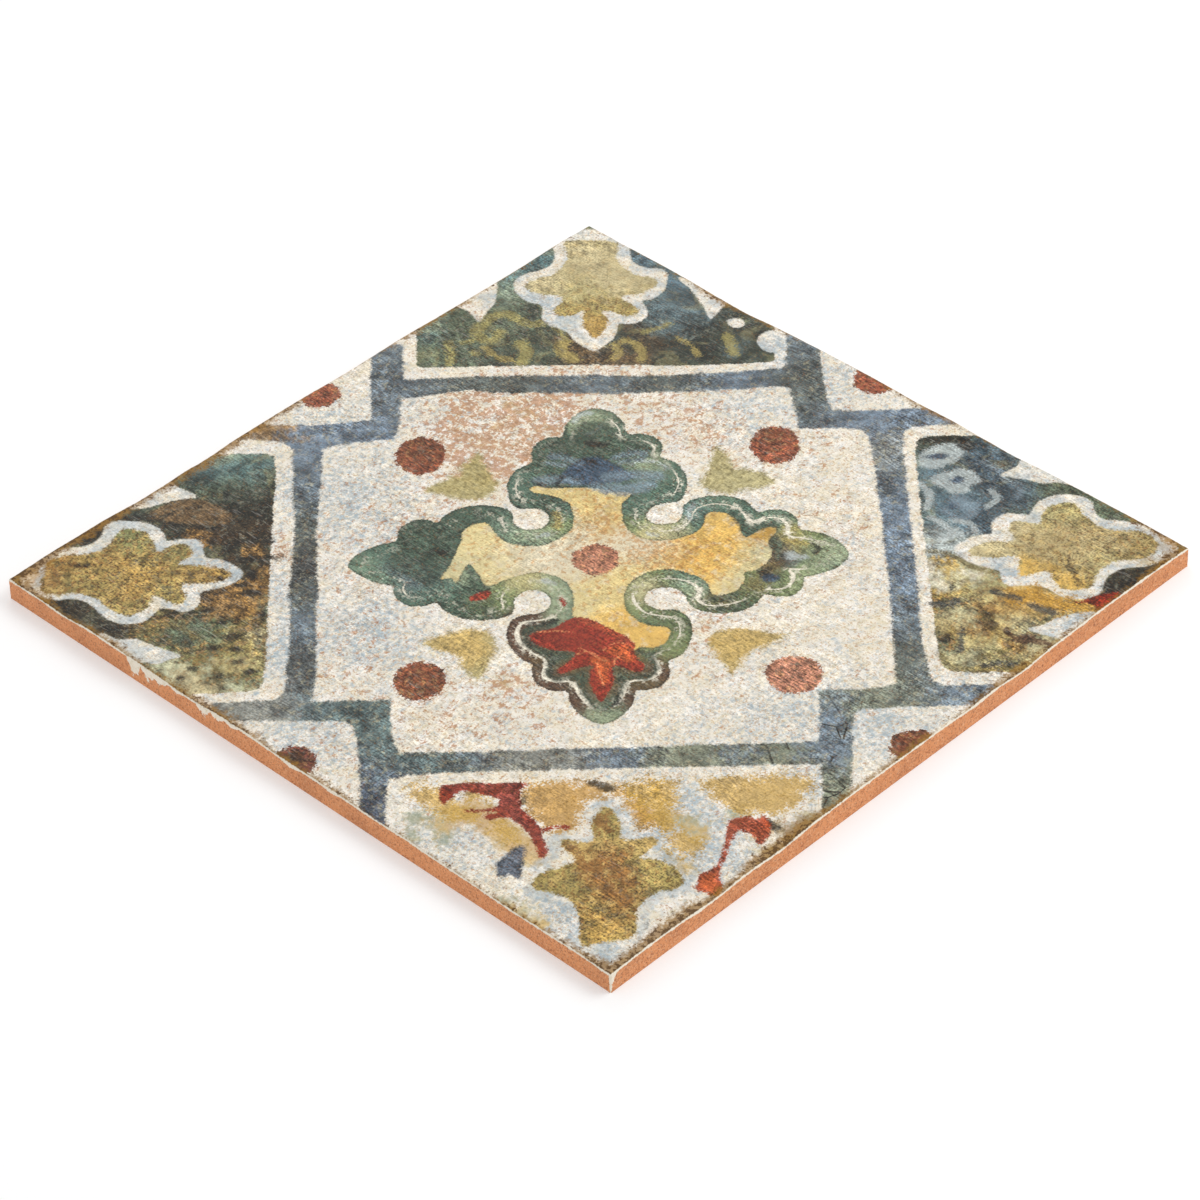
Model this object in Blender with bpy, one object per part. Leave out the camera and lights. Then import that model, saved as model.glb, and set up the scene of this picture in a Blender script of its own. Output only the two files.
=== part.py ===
"""A glazed wall tile: one pressed and fired slab of red clay.

The slab lies face up with the middle of its back at the origin and its sides along X and Y.
Its back is flat with shallow keying pockets for the adhesive.
Its face is nearly flat in the middle and rolls gently along the four edges, as a hand-finished tile does.
"""

import math

import bmesh
import bpy

MM = 0.001

# Driving dimensions, in metres
SIDE = 331.5 * MM
CORNER_HEIGHT = 8.9 * MM
FACE_RISE = 0.8 * MM
EDGE_ROUNDING = 0.9 * MM
ROUNDING_STEPS = 2

# The face rolls within this band along each edge, and is level inside it
EDGE_BAND = 26.0 * MM
FACE_CELLS = 48

# How softly the rolls of two edges meet at their corner
CORNER_BLEND = 1.0 * MM

# Edges that turn more than this are rounded, or stay sharp in the shading
ROUNDED_TURN = math.radians(60)
SHARP_TURN = math.radians(35)

GLAZE_COLOUR = (0.56, 0.50, 0.38, 1.0)
GLAZE_ROUGHNESS = 0.32

# The pockets pressed into the back, between a plain rim and narrow ribs
BACK_RIM = 14.0 * MM
RIB_WIDTH = 4.0 * MM
POCKET_DEPTH = 0.7 * MM
POCKET_ROWS = 12
POCKET_COLUMNS = 3
POCKET_DRAFT = 0.5 * MM
CUTTER_OVERSHOOT = 2.0 * MM

# Height of each edge above the corners, in millimetres, at places along that edge in millimetres
EDGE_WAVES = {
    "north": (
        (-166, 0.9), (-140, 1.6), (-115, 1.5), (-96, 0.4), (-82, 0.5), (-71, 1.2), (-60, 0.7),
        (-42, 1.9), (-8, 2.0), (20, 1.3), (51, 1.8), (85, 1.0), (120, 0.6), (150, 1.2), (166, 0.5),
    ),
    "east": (
        (-166, 0.2), (-145, 0.6), (-120, 0.5), (-95, 0.4), (-75, -0.5), (-58, 0.0), (-41, 0.7),
        (-25, 0.2), (0, 0.9), (30, 0.7), (56, 0.0), (72, -1.2), (88, -0.8), (104, 0.0), (120, 0.5),
        (145, 0.3), (166, 0.5),
    ),
    "south": (
        (-166, -0.2), (-145, 0.6), (-125, 0.1), (-110, -0.8), (-93, 0.4), (-75, -0.5), (-55, 1.1),
        (-32, 1.4), (0, 1.1), (20, 1.1), (32, 0.3), (45, 1.2), (64, -0.3), (82, 1.2), (110, 1.8),
        (135, 1.5), (152, 1.0), (166, 0.2),
    ),
    "west": (
        (-166, -0.2), (-150, 0.5), (-135, 0.2), (-114, -0.2), (-98, 0.4), (-75, 0.4), (-61, 1.0),
        (-45, 0.5), (-25, 0.9), (8, 0.6), (25, 1.6), (40, 1.4), (60, 0.2), (82, 0.9), (100, 1.6),
        (118, 1.8), (132, 0.3), (147, 1.0), (166, 0.9),
    ),
}


def ease(share):
    """A smooth step from 0 to 1."""
    share = min(1.0, max(0.0, share))
    return share * share * (3.0 - 2.0 * share)


def edge_height(edge, place):
    """Height of an edge above the corners, in metres, at a place along it in metres."""
    knots = EDGE_WAVES[edge]
    along = place / MM
    if along <= knots[0][0]:
        return knots[0][1] * MM
    for (start, low), (end, high) in zip(knots, knots[1:]):
        if along <= end:
            return (low + (high - low) * ease((along - start) / (end - start))) * MM
    return knots[-1][1] * MM


def face_height(x, y):
    """Height of the glazed face above the back, in metres."""
    half = SIDE / 2
    near = {
        "north": (half - y, x),
        "east": (half - x, y),
        "south": (half + y, x),
        "west": (half + x, y),
    }
    total = 0.0
    weight = 0.0
    for edge, (inward, place) in near.items():
        pull = (1.0 - ease(inward / EDGE_BAND)) / (abs(inward) + CORNER_BLEND)
        total += pull * (edge_height(edge, place) - FACE_RISE)
        weight += pull
    strength = 1.0 - ease(min(inward for inward, _ in near.values()) / EDGE_BAND)
    roll = total / weight * strength if weight > 0.0 else 0.0
    return CORNER_HEIGHT + FACE_RISE + roll


def new_object(name, mesh_data, collection):
    """An object in a collection, from a bmesh that is then freed."""
    mesh = bpy.data.meshes.new(name)
    mesh_data.to_mesh(mesh)
    mesh_data.free()
    thing = bpy.data.objects.new(name, mesh)
    collection.objects.link(thing)
    return thing


def make_slab(collection):
    """The slab with its rolling face, its four sides and a plain flat back."""
    slab = bmesh.new()
    bmesh.ops.create_grid(slab, x_segments=FACE_CELLS, y_segments=FACE_CELLS, size=SIDE / 2)
    for vert in slab.verts:
        vert.co.z = face_height(vert.co.x, vert.co.y)
    rim = [edge for edge in slab.edges if edge.is_boundary]
    sides = bmesh.ops.extrude_edge_only(slab, edges=rim)["geom"]
    lower = [item for item in sides if isinstance(item, bmesh.types.BMVert)]
    for vert in lower:
        vert.co.z = 0.0
    foot = [edge for edge in slab.edges if edge.is_boundary]
    bmesh.ops.holes_fill(slab, edges=foot, sides=0)
    bmesh.ops.recalc_face_normals(slab, faces=slab.faces)
    round_top_edges(slab)
    return new_object("tile", slab, collection)


def round_top_edges(slab):
    """Rounds the edge where the face meets the sides."""
    top_edges = [
        edge
        for edge in slab.edges
        if all(vert.co.z > 0.0 for vert in edge.verts) and edge.calc_face_angle(0.0) > ROUNDED_TURN
    ]
    bmesh.ops.bevel(
        slab,
        geom=top_edges,
        offset=EDGE_ROUNDING,
        segments=ROUNDING_STEPS,
        profile=0.5,
        affect="EDGES",
        material=-1,
    )


def make_pocket(name, centre, size, collection):
    """A cutter for one pocket of the back, narrower at its floor so that it leaves the mould."""
    pocket = bmesh.new()
    bmesh.ops.create_cube(pocket, size=1.0)
    for vert in pocket.verts:
        inner = vert.co.z > 0.0
        lean = POCKET_DRAFT if inner else -POCKET_DRAFT * CUTTER_OVERSHOOT / POCKET_DEPTH
        vert.co.x = centre[0] + math.copysign(size[0] / 2 - lean, vert.co.x)
        vert.co.y = centre[1] + math.copysign(size[1] / 2 - lean, vert.co.y)
        vert.co.z = POCKET_DEPTH if inner else -CUTTER_OVERSHOOT
    cutter = new_object(name, pocket, collection)
    cutter.hide_render = True
    cutter.display_type = "WIRE"
    return cutter


def make_pockets(collection):
    """The cutters for all pockets of the back, in rows and columns inside the rim."""
    field = SIDE - 2 * BACK_RIM
    width = (field - (POCKET_COLUMNS - 1) * RIB_WIDTH) / POCKET_COLUMNS
    height = (field - (POCKET_ROWS - 1) * RIB_WIDTH) / POCKET_ROWS
    for row in range(POCKET_ROWS):
        y = -field / 2 + height / 2 + row * (height + RIB_WIDTH)
        for column in range(POCKET_COLUMNS):
            x = -field / 2 + width / 2 + column * (width + RIB_WIDTH)
            make_pocket(f"pocket_{row}_{column}", (x, y), (width, height), collection)


def key_the_back(slab, cutters):
    """Cuts the pockets into the back of the slab."""
    cut = slab.modifiers.new("keyed back", "BOOLEAN")
    cut.operation = "DIFFERENCE"
    cut.operand_type = "COLLECTION"
    cut.collection = cutters
    cut.solver = "EXACT"


def glazed_clay():
    """The slab's one material: a worn cream glaze."""
    material = bpy.data.materials.new("glazed_clay")
    material.use_nodes = True
    shader = material.node_tree.nodes["Principled BSDF"]
    shader.inputs["Base Color"].default_value = GLAZE_COLOUR
    shader.inputs["Roughness"].default_value = GLAZE_ROUGHNESS
    shader.inputs["Metallic"].default_value = 0.0
    return material


def new_collection(name):
    """A collection in the scene."""
    collection = bpy.data.collections.new(name)
    bpy.context.scene.collection.children.link(collection)
    return collection


def main():
    """Clears the scene and makes the tile."""
    for thing in list(bpy.data.objects):
        bpy.data.objects.remove(thing, do_unlink=True)
    tile_parts = new_collection("wall tile")
    cutters = new_collection("cutters")
    slab = make_slab(tile_parts)
    slab.data.materials.append(glazed_clay())
    make_pockets(cutters)
    key_the_back(slab, cutters)
    slab.data.shade_smooth()
    slab.data.set_sharp_from_angle(angle=SHARP_TURN)


main()
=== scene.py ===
"""The looks of a glazed wall tile: one pressed slab of red clay with a painted, worn glaze.

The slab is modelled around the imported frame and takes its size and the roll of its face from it.
The decoration is drawn as outlines and brush strokes. Each vertex of the face keeps how far it
lies inside them, and the glaze material turns those distances into crisp, hand-painted edges.
"""

import math
from functools import cached_property

import bmesh
import bpy
import numpy as np
from bpy.props import FloatProperty, FloatVectorProperty, IntProperty, PointerProperty
from bpy.types import Operator, Panel, PropertyGroup
from mathutils import Matrix, Vector, noise
from mathutils.bvhtree import BVHTree


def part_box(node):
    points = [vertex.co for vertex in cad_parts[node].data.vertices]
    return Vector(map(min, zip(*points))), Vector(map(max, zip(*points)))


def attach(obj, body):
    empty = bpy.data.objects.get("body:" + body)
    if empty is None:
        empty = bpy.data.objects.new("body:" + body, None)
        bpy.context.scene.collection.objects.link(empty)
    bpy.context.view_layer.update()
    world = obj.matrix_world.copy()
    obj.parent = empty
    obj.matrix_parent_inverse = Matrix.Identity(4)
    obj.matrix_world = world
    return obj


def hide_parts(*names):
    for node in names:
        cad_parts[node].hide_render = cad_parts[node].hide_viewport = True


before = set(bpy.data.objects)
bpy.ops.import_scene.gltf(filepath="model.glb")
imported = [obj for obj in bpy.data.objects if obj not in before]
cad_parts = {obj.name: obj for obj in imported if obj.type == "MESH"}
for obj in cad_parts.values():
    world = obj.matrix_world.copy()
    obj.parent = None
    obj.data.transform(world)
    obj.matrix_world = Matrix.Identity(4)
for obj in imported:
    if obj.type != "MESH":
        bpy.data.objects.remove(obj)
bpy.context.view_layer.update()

bl_info = {
    "name": "Glazed wall tile",
    "version": (1, 0, 0),
    "blender": (4, 5, 0),
    "location": "3D View > Sidebar > Tile",
    "description": "Makes a hand-painted, worn glazed wall tile and a plain studio stage",
    "category": "Object",
}

MM = 0.001
NODE = "tile"
LOWEST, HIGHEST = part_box(NODE)
HALF = (HIGHEST.x - LOWEST.x) / 2


def paint(red, green, blue):
    """A paint's linear colour from its usual 0 to 255 values, by the standard curve."""
    linear = []
    for value in (red, green, blue):
        share = value / 255
        linear.append(share / 12.92 if share <= 0.04045 else ((share + 0.055) / 1.055) ** 2.4)
    return tuple(linear)


# The decoration is drawn in millimetres on the tile seen from above, turned by an eighth of a turn:
# the first number runs to the right between two corners, the second away from the near corner.
# The far distances were read on the plane of the corners, so the raised face lies this much nearer.
# Outlines and paths list both numbers of each of their points in turn.
READING_LIFT = 0.97

# Where the chance that shakes the tints starts, and how far from a shape its distance is kept
CHANCE_SEED = 11
REACH = 14.0

# The outer edge of the cross's band
CROSS = (
    1.5, 102.5, 6.5, 100.5, 10, 96, 12.4, 90, 12.8, 86, 14.5, 84.4, 19, 84.6, 23.5, 82.6, 26.6, 78.5,
    27.3, 73.5, 26.3, 69.2, 27.8, 67.8, 32, 65, 35, 60.5, 36.6, 54, 36.3, 46.5, 34.6, 41, 32.2, 38.6,
    29, 38, 25.5, 37.6, 22, 35.6, 20, 32, 20, 28.4, 22.2, 25.4, 26, 24.4, 30, 25, 33, 27.6, 34.2, 31,
    34.4, 35, 36.5, 38.4, 41, 41, 47, 42.1, 53, 41.6, 58.5, 39, 62, 35, 63.8, 31.2, 65.2, 30.8, 68.5, 32,
    73, 32, 77.2, 29.6, 80, 25.2, 80.4, 20.6, 81.4, 18.8, 86, 17.4, 91.5, 14.6, 95.6, 10.8, 98.4, 6.5,
    99.2, 2.5, 97.6, -2, 94, -6, 89, -9, 83.5, -10.8, 80.8, -12, 80.4, -15, 79, -19.6, 75.2, -22.8,
    70.5, -23.2, 66, -21.8, 63.8, -22.4, 62, -26, 58.5, -29.4, 53.5, -31.8, 47.5, -32.6, 41.5, -31.4,
    37, -29, 34.8, -25.6, 33.4, -21, 30.6, -17, 26.6, -15.4, 22, -16, 18.6, -19, 17.6, -23, 19.2, -26.6,
    23, -28.8, 27.5, -29.2, 31, -30.2, 34, -33.4, 35.4, -39, 35.4, -46, 33.4, -53, 30, -58, 26.8, -59.8,
    26, -61.6, 26.4, -66, 25.4, -71, 22.4, -75.2, 18, -77.2, 14, -77.4, 12.7, -78.6, 12.2, -82.5,
    10.6, -87.5, 7.4, -92, 3.5, -95.2, 0, -96.6, -4, -95, -8.4, -91.2, -11.4, -86.6, -12.8, -81.6,
    -13.4, -77.8, -15, -76.4, -19, -76.2, -23.2, -74, -26.2, -69.6, -27, -64.5, -26.6, -61, -28, -59.4,
    -31.4, -56.6, -34.6, -51.4, -36.3, -45, -36.4, -38.5, -34.8, -33.6, -32, -30.8, -28, -30, -24, -29.4,
    -20.6, -26.6, -19.4, -22.6, -20.6, -18, -24, -15.4, -28, -15.4, -31.6, -17.6, -33.6, -21.4,
    -33.6, -25.4, -34.4, -29, -37, -31, -41.5, -32.4, -47, -32.8, -52.5, -31.8, -57.4, -29.6, -61, -26,
    -63.6, -21.8, -65.4, -21, -68.5, -22.8, -72.5, -23.2, -76.6, -21.8, -79.8, -18, -81.2, -13.6,
    -81.2, -10.4, -83, -9.4, -88, -7.6, -93, -4.4, -97, -0.6, -99.6, 3.4, -98, 8, -94, 12.4, -88.5, 15.6,
    -83, 17.6, -80.6, 18.8, -80.2, 21, -79.6, 25, -77, 29, -73.2, 31.4, -69, 31.6, -65.4, 30, -63.8, 30,
    -62, 33, -58, 36.8, -52.5, 39.4, -46.5, 40, -40.5, 39, -36, 36.8, -34, 33.6, -34, 29.6, -32, 25.6,
    -28.4, 23.4, -24.2, 23.6, -20.6, 26, -19.2, 30, -20.2, 33.8, -22.8, 36.2, -27, 37, -31, 37.2,
    -34, 39.8, -35.6, 45, -36.2, 51, -35.2, 57.5, -32.2, 62.6, -28.2, 65.6, -26.2, 67.6, -26.2, 72,
    -25.6, 77, -22.8, 81.4, -18.4, 83.8, -14.4, 83.6, -12.9, 85.2, -12.6, 89.4, -10.6, 94.4, -7.4, 98.8,
    -3, 101.6,
)

# The inner edge of the cross's band
FILL = (
    29, 14.4, 35, 16.4, 40, 19.6, 42.4, 24, 43, 28.4, 45, 31, 50, 31, 54.4, 28, 56.8, 23, 57.4, 18, 59, 15,
    62, 16.8, 66, 20, 70, 20.8, 71.2, 18.4, 69, 14, 67.6, 10.6, 69, 5, 67.6, 0, 63.4, -5, 60, -7,
    57.6, -7.4, 57.4, -12, 55, -17, 51.6, -20, 47, -21.2, 44, -20, 43, -15.4, 41, -11, 37, -8, 31, -5,
    26, -4, 20, -5.4, 14.4, -9.4, 10.6, -15, 9.4, -22, 10.4, -29, 14, -35, 19, -38.6, 24, -39.6,
    26.8, -41.6, 26.6, -46, 24, -50, 20, -52, 15, -51.6, 12, -54, 7, -49, 0, -41, -6, -37, -10, -33,
    -10.6, -28, -10.2, -20, -11.6, -13, -14, -9, -19, -5.6, -26, -4, -33, -6, -38.6, -9, -42, -11,
    -45, -11, -47, -6, -49.6, 0, -51.6, 2.4, -54, -2, -56.4, -9, -58.4, -6, -62.6, -6.4, -60.4, -2,
    -58.4, 4, -56.4, 11, -54.6, 17, -54.4, 21.4, -52.4, 25.6, -48, 28, -44.6, 28, -43, 25.6, -41.4, 22,
    -38, 17, -32, 13.6, -27, 12.6, -21.6, 13.2, -15, 17.4, -10.6, 23, -9.4, 29, -9.8, 35, -12, 40.6,
    -16, 44, -21, 46.2, -25.6, 47.4, -26.8, 50, -24, 51.6, -20, 50, -10, 49.6, 0, 49, 5, 47, 14, 45,
    10.6, 40, 9.8, 34, 10.6, 26, 13, 20, 17.4, 16, 22.6, 14.4,
)

# The fine pale line inside the band
LINE = (
    1, 97.4, 5, 96, 8, 92, 9.8, 88, 10.6, 83, 12, 80.6, 16, 80.4, 20, 79.6, 23, 77, 24, 74, 22.6, 70.6,
    23.4, 68, 27, 65.4, 30.4, 61, 32.6, 56, 33.2, 51, 32, 46, 30, 42.6, 26.4, 41, 21.4, 39, 17.4, 35.6,
    15.2, 31.4, 15.2, 28, 17.6, 24, 21.4, 21.2, 26.4, 20, 32, 21.4, 35.6, 24.2, 37.6, 28, 38.8, 32,
    41.2, 35, 46, 36.6, 50.4, 36.4, 55, 34.6, 58, 31.4, 59.8, 27.6, 61.6, 24.4, 64, 25, 67.6, 26.8,
    72, 26.6, 75, 24, 76, 20, 75.6, 16, 77.4, 14.2, 82, 13, 87, 11.2, 91.4, 8.2, 94.4, 4.4, 93, 0,
    89.4, -3.4, 84.4, -5.6, 79, -6.4, 75.2, -6.4, 76.6, -10, 75.8, -14.4, 73, -17.8, 69, -18.6, 65, -18.4,
    62, -20.4, 57.4, -24, 51, -26.8, 45, -27.6, 40.6, -26.4, 38.2, -22.6, 39.4, -18.4, 37.4, -14.2,
    32.4, -11, 26.4, -10, 19.4, -11, 15, -14.4, 13, -19, 14, -25, 17.6, -30.6, 22.4, -32.6, 28.4, -34.4,
    30.8, -39, 30.4, -46, 26.4, -52.6, 20.4, -56.8, 21.6, -61.4, 22, -66.6, 18.4, -70.8, 12.4, -71.6,
    9.2, -73.4, 8, -78.6, 5.4, -85, 0, -90, -4.4, -86.4, -8, -80, -10, -74.4, -12.4, -71.2, -18.6, -70.6,
    -22.4, -67.4, -21.6, -62, -22.2, -57.2, -27, -53, -31.4, -47, -32.6, -40.4, -30.2, -35, -24, -33.8,
    -18, -31.6, -14.8, -26, -14.4, -20.6, -17, -14.4, -21.6, -10.8, -28, -10, -34, -12, -37.6, -16,
    -38.6, -21, -38, -26, -42.4, -28, -48.4, -28.4, -55, -26, -60, -20.6, -62.8, -15, -66.4, -16,
    -71, -18.4, -75, -17, -77.4, -12.4, -76.8, -7.4, -81, -5.4, -87, -3.4, -92, 0, -94.6, 3.4, -92, 7.6,
    -86.4, 11.4, -81, 13.6, -76.6, 16, -75.6, 20.4, -74, 25, -70.6, 27.4, -66, 26, -62, 25, -59.6, 28,
    -56, 32.4, -50.4, 35, -45, 35.2, -40.4, 33.4, -38.2, 29.4, -37.6, 25.6, -34, 21.4, -28.4, 19,
    -22.4, 19.6, -17, 22.8, -14.6, 27.6, -14.8, 33, -17.4, 37.4, -22, 40.6, -27, 41.4, -30.6, 43,
    -32.2, 47, -32.6, 52, -31, 57.6, -27.6, 61.6, -23.4, 65, -22.2, 69, -22, 74, -19.8, 78, -15.6, 79.8,
    -11.4, 80, -9.4, 82.8, -9.2, 87.4, -7.4, 92.2, -4, 96,
)

# The straps, drawn with a ruler's straight stretches that a hand has let wander
STRAPS = (
    (-82, 112, -70, 114.5, -60, 116, -50, 117.4, -43, 115.5, -30, 114.5, -10, 113.6, 10, 112.2, 40, 112.2,
     60, 113, 76, 114.5, 84, 112.5, 96, 114, 95, 127, 80, 127, 60, 125.6, 40, 124.6, 20, 124.2, 0, 125.6,
     -20, 126.2, -45, 127, -60, 126.6, -75, 126, -92, 127),
    (-93, 150, -93, 125, -92.4, 110, -92.2, 98.8, -104, 97.4, -116, 95.8, -127, 96, -150, 97, -150, 87,
     -138, 86, -128, 85, -124.4, 80, -111.8, 80, -105, 82.6, -95, 84, -83, 85, -81.2, 92, -80.2, 101,
     -80, 112, -79.2, 122, -79.6, 150),
    (-124.2, 84, -123.4, 66, -122.6, 48, -121.4, 24, -122, -2, -122.4, -14, -121.4, -34, -121.6, -56,
     -122, -72, -126, -78, -112, -80, -110.4, -70, -110.6, -50, -111.4, -30, -110.8, -12, -112, 4,
     -112.6, 22, -112, 46, -111.8, 66, -111.6, 82),
    (-150, -78, -134, -77.6, -124, -77, -111, -78.4, -98, -79, -81, -78.8, -80.6, -90, -80.4, -101,
     -79, -106, -77, -110.6, -80, -124, -82, -130, -82, -156, -92, -156, -92, -128, -92.6, -114,
     -93.8, -101, -95.6, -94.4, -99, -91, -112, -90.4, -126, -90.4, -150, -89),
    (-84, -110.4, -60, -110.2, -48, -110.6, -20, -110.2, 10, -110.4, 40, -110, 70, -110.2, 84, -109.6,
     92, -114, 84, -124, 76, -122.6, 50, -122.8, 20, -122.4, -10, -122.2, -40, -122, -60, -122.2,
     -74, -123, -84, -126),
    (82.4, -80, 98, -80.4, 108, -79.4, 113, -77, 126, -76, 132, -79.4, 152, -80, 152, -90.6, 130, -91.4,
     112, -91.6, 99, -92, 95.6, -95, 94.2, -104, 93.8, -120, 92, -134, 92, -156, 80.4, -156, 81.6, -126,
     81, -110, 82.6, -98),
    (110.4, 84, 112.6, 70, 113, 50, 113.4, 26, 113.8, 4, 114, -16, 113.8, -36, 113.2, -56, 113, -80,
     127, -80, 125.8, -68, 124.6, -50, 125, -24, 125.2, 2, 125, 30, 125.4, 56, 125.8, 76, 127.4, 84),
    (81, 114, 82, 103, 83, 94, 83.4, 85, 100, 84.6, 110, 83, 127, 82.4, 133, 84.6, 152, 86, 152, 97,
     131, 97.4, 116, 96.2, 104, 96.4, 98.4, 97.4, 96.4, 103, 95.6, 113, 95.2, 128, 95.2, 152, 81.6, 152,
     80, 127),
)

# The painted panels of the corners, which go on past the tile's edges
PANELS = (
    (-74, 136, -72.4, 133.8, -40, 133.6, -4, 133, 20, 131.6, 40, 130.4, 60, 130.8, 74, 131.2, 77, 133.8,
     77, 245, -74, 245),
    (-250, 78, -134, 77.6, -131, 75.4, -130.2, 60, -130.6, 20, -130.2, -30, -130.4, -66, -132, -70.6,
     -136, -72, -158, -72.2, -250, -72),
    (250, 78, 136, 77.8, 131.6, 75.8, 130.2, 70, 129.8, 30, 130, -10, 130, -50, 130.8, -67, 133, -71,
     140, -72, 250, -72),
)

# The fleurs of the corners
FLEURS = (
    (-10, 222.5, -9.6, 214, -10.4, 207.5, -13, 202, -17.4, 198, -23.6, 195.6, -27.6, 191.4, -26.2, 187,
     -20.4, 184, -13.6, 182.6, -11.8, 180.4, -14, 176, -16.2, 171.6, -13, 168.2, -8, 168.2, -3.6, 171.4,
     -3.8, 166, -3.6, 160, -1.2, 154.4, 1.5, 151, 4.2, 155, 6.2, 160, 6.6, 165, 4.4, 170.6, 8, 170.2,
     13, 167.4, 18, 167.2, 19.8, 170.6, 16.4, 176, 12.4, 181, 18.4, 182, 24, 184.8, 28.2, 189.4,
     26.2, 194.4, 20.8, 196.4, 16, 200, 13, 205, 11.4, 211, 11, 222),
    (-219, 10, -213, 14, -205, 15, -199, 17, -195, 21, -193, 26.4, -190, 30.6, -185.4, 30.2, -181, 27.6,
     -178, 23, -176.6, 18, -174.6, 15.4, -171, 19, -167, 20.2, -163, 18.4, -161.4, 14.6, -163.4, 11,
     -167, 7.2, -160, 6.6, -153, 5, -147.4, 2.4, -145.4, 0, -148.4, -3, -153.4, -5, -160, -4.6, -165, -5,
     -164.4, -9, -162.6, -14, -165, -18, -169, -16.4, -173, -13, -176, -12.6, -177, -17, -180, -22,
     -185, -24.2, -190, -22.6, -194, -18.6, -198, -13, -203, -10, -209, -9, -215, -10, -220, -8, -220.6, 0),
    (0.5, -143.6, 3.6, -148, 5.6, -154, 5.2, -160, 7.4, -162.2, 12, -162, 17, -161.4, 18.6, -164.6,
     15.4, -169, 12, -172.4, 17, -173, 23, -176.4, 26.4, -181, 27.6, -185.4, 24, -189.2, 18, -190.6,
     13.4, -195, 10.6, -200.4, 10, -206, 10, -211, 6, -215.6, -2, -216.6, -9, -218, -11, -214, -10.2, -207,
     -11, -201, -13.4, -195, -17, -191, -22, -189, -26.8, -187.4, -27.2, -183, -24, -179, -17, -176,
     -12.2, -173.6, -13, -170, -16, -166, -16.4, -162, -13, -161.4, -8, -163, -5, -161.4, -5.6, -156,
     -4.6, -150, -2.2, -146),
    (146, 1.6, 150, 5.4, 157, 8, 163, 7.4, 166, 9.4, 164.6, 13, 163.6, 17, 166, 20.2, 171, 19.8, 176, 18.6,
     177.2, 22, 179.4, 27, 184, 30.6, 190, 31.4, 193.4, 28, 194.4, 23, 198, 17.6, 202, 14.4, 208, 12.8,
     215, 12, 221, 7, 221.4, 0, 217, -5, 209, -6, 203, -8, 199, -11, 196.4, -14.4, 195, -19, 191.6, -23.6,
     186, -24.6, 181, -22.4, 178.4, -18, 178, -13, 175, -12, 171, -13.6, 166, -15, 165, -10.4, 166.4, -5,
     164.6, -2.2, 158, -2.4, 150, -1.4),
)

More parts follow.
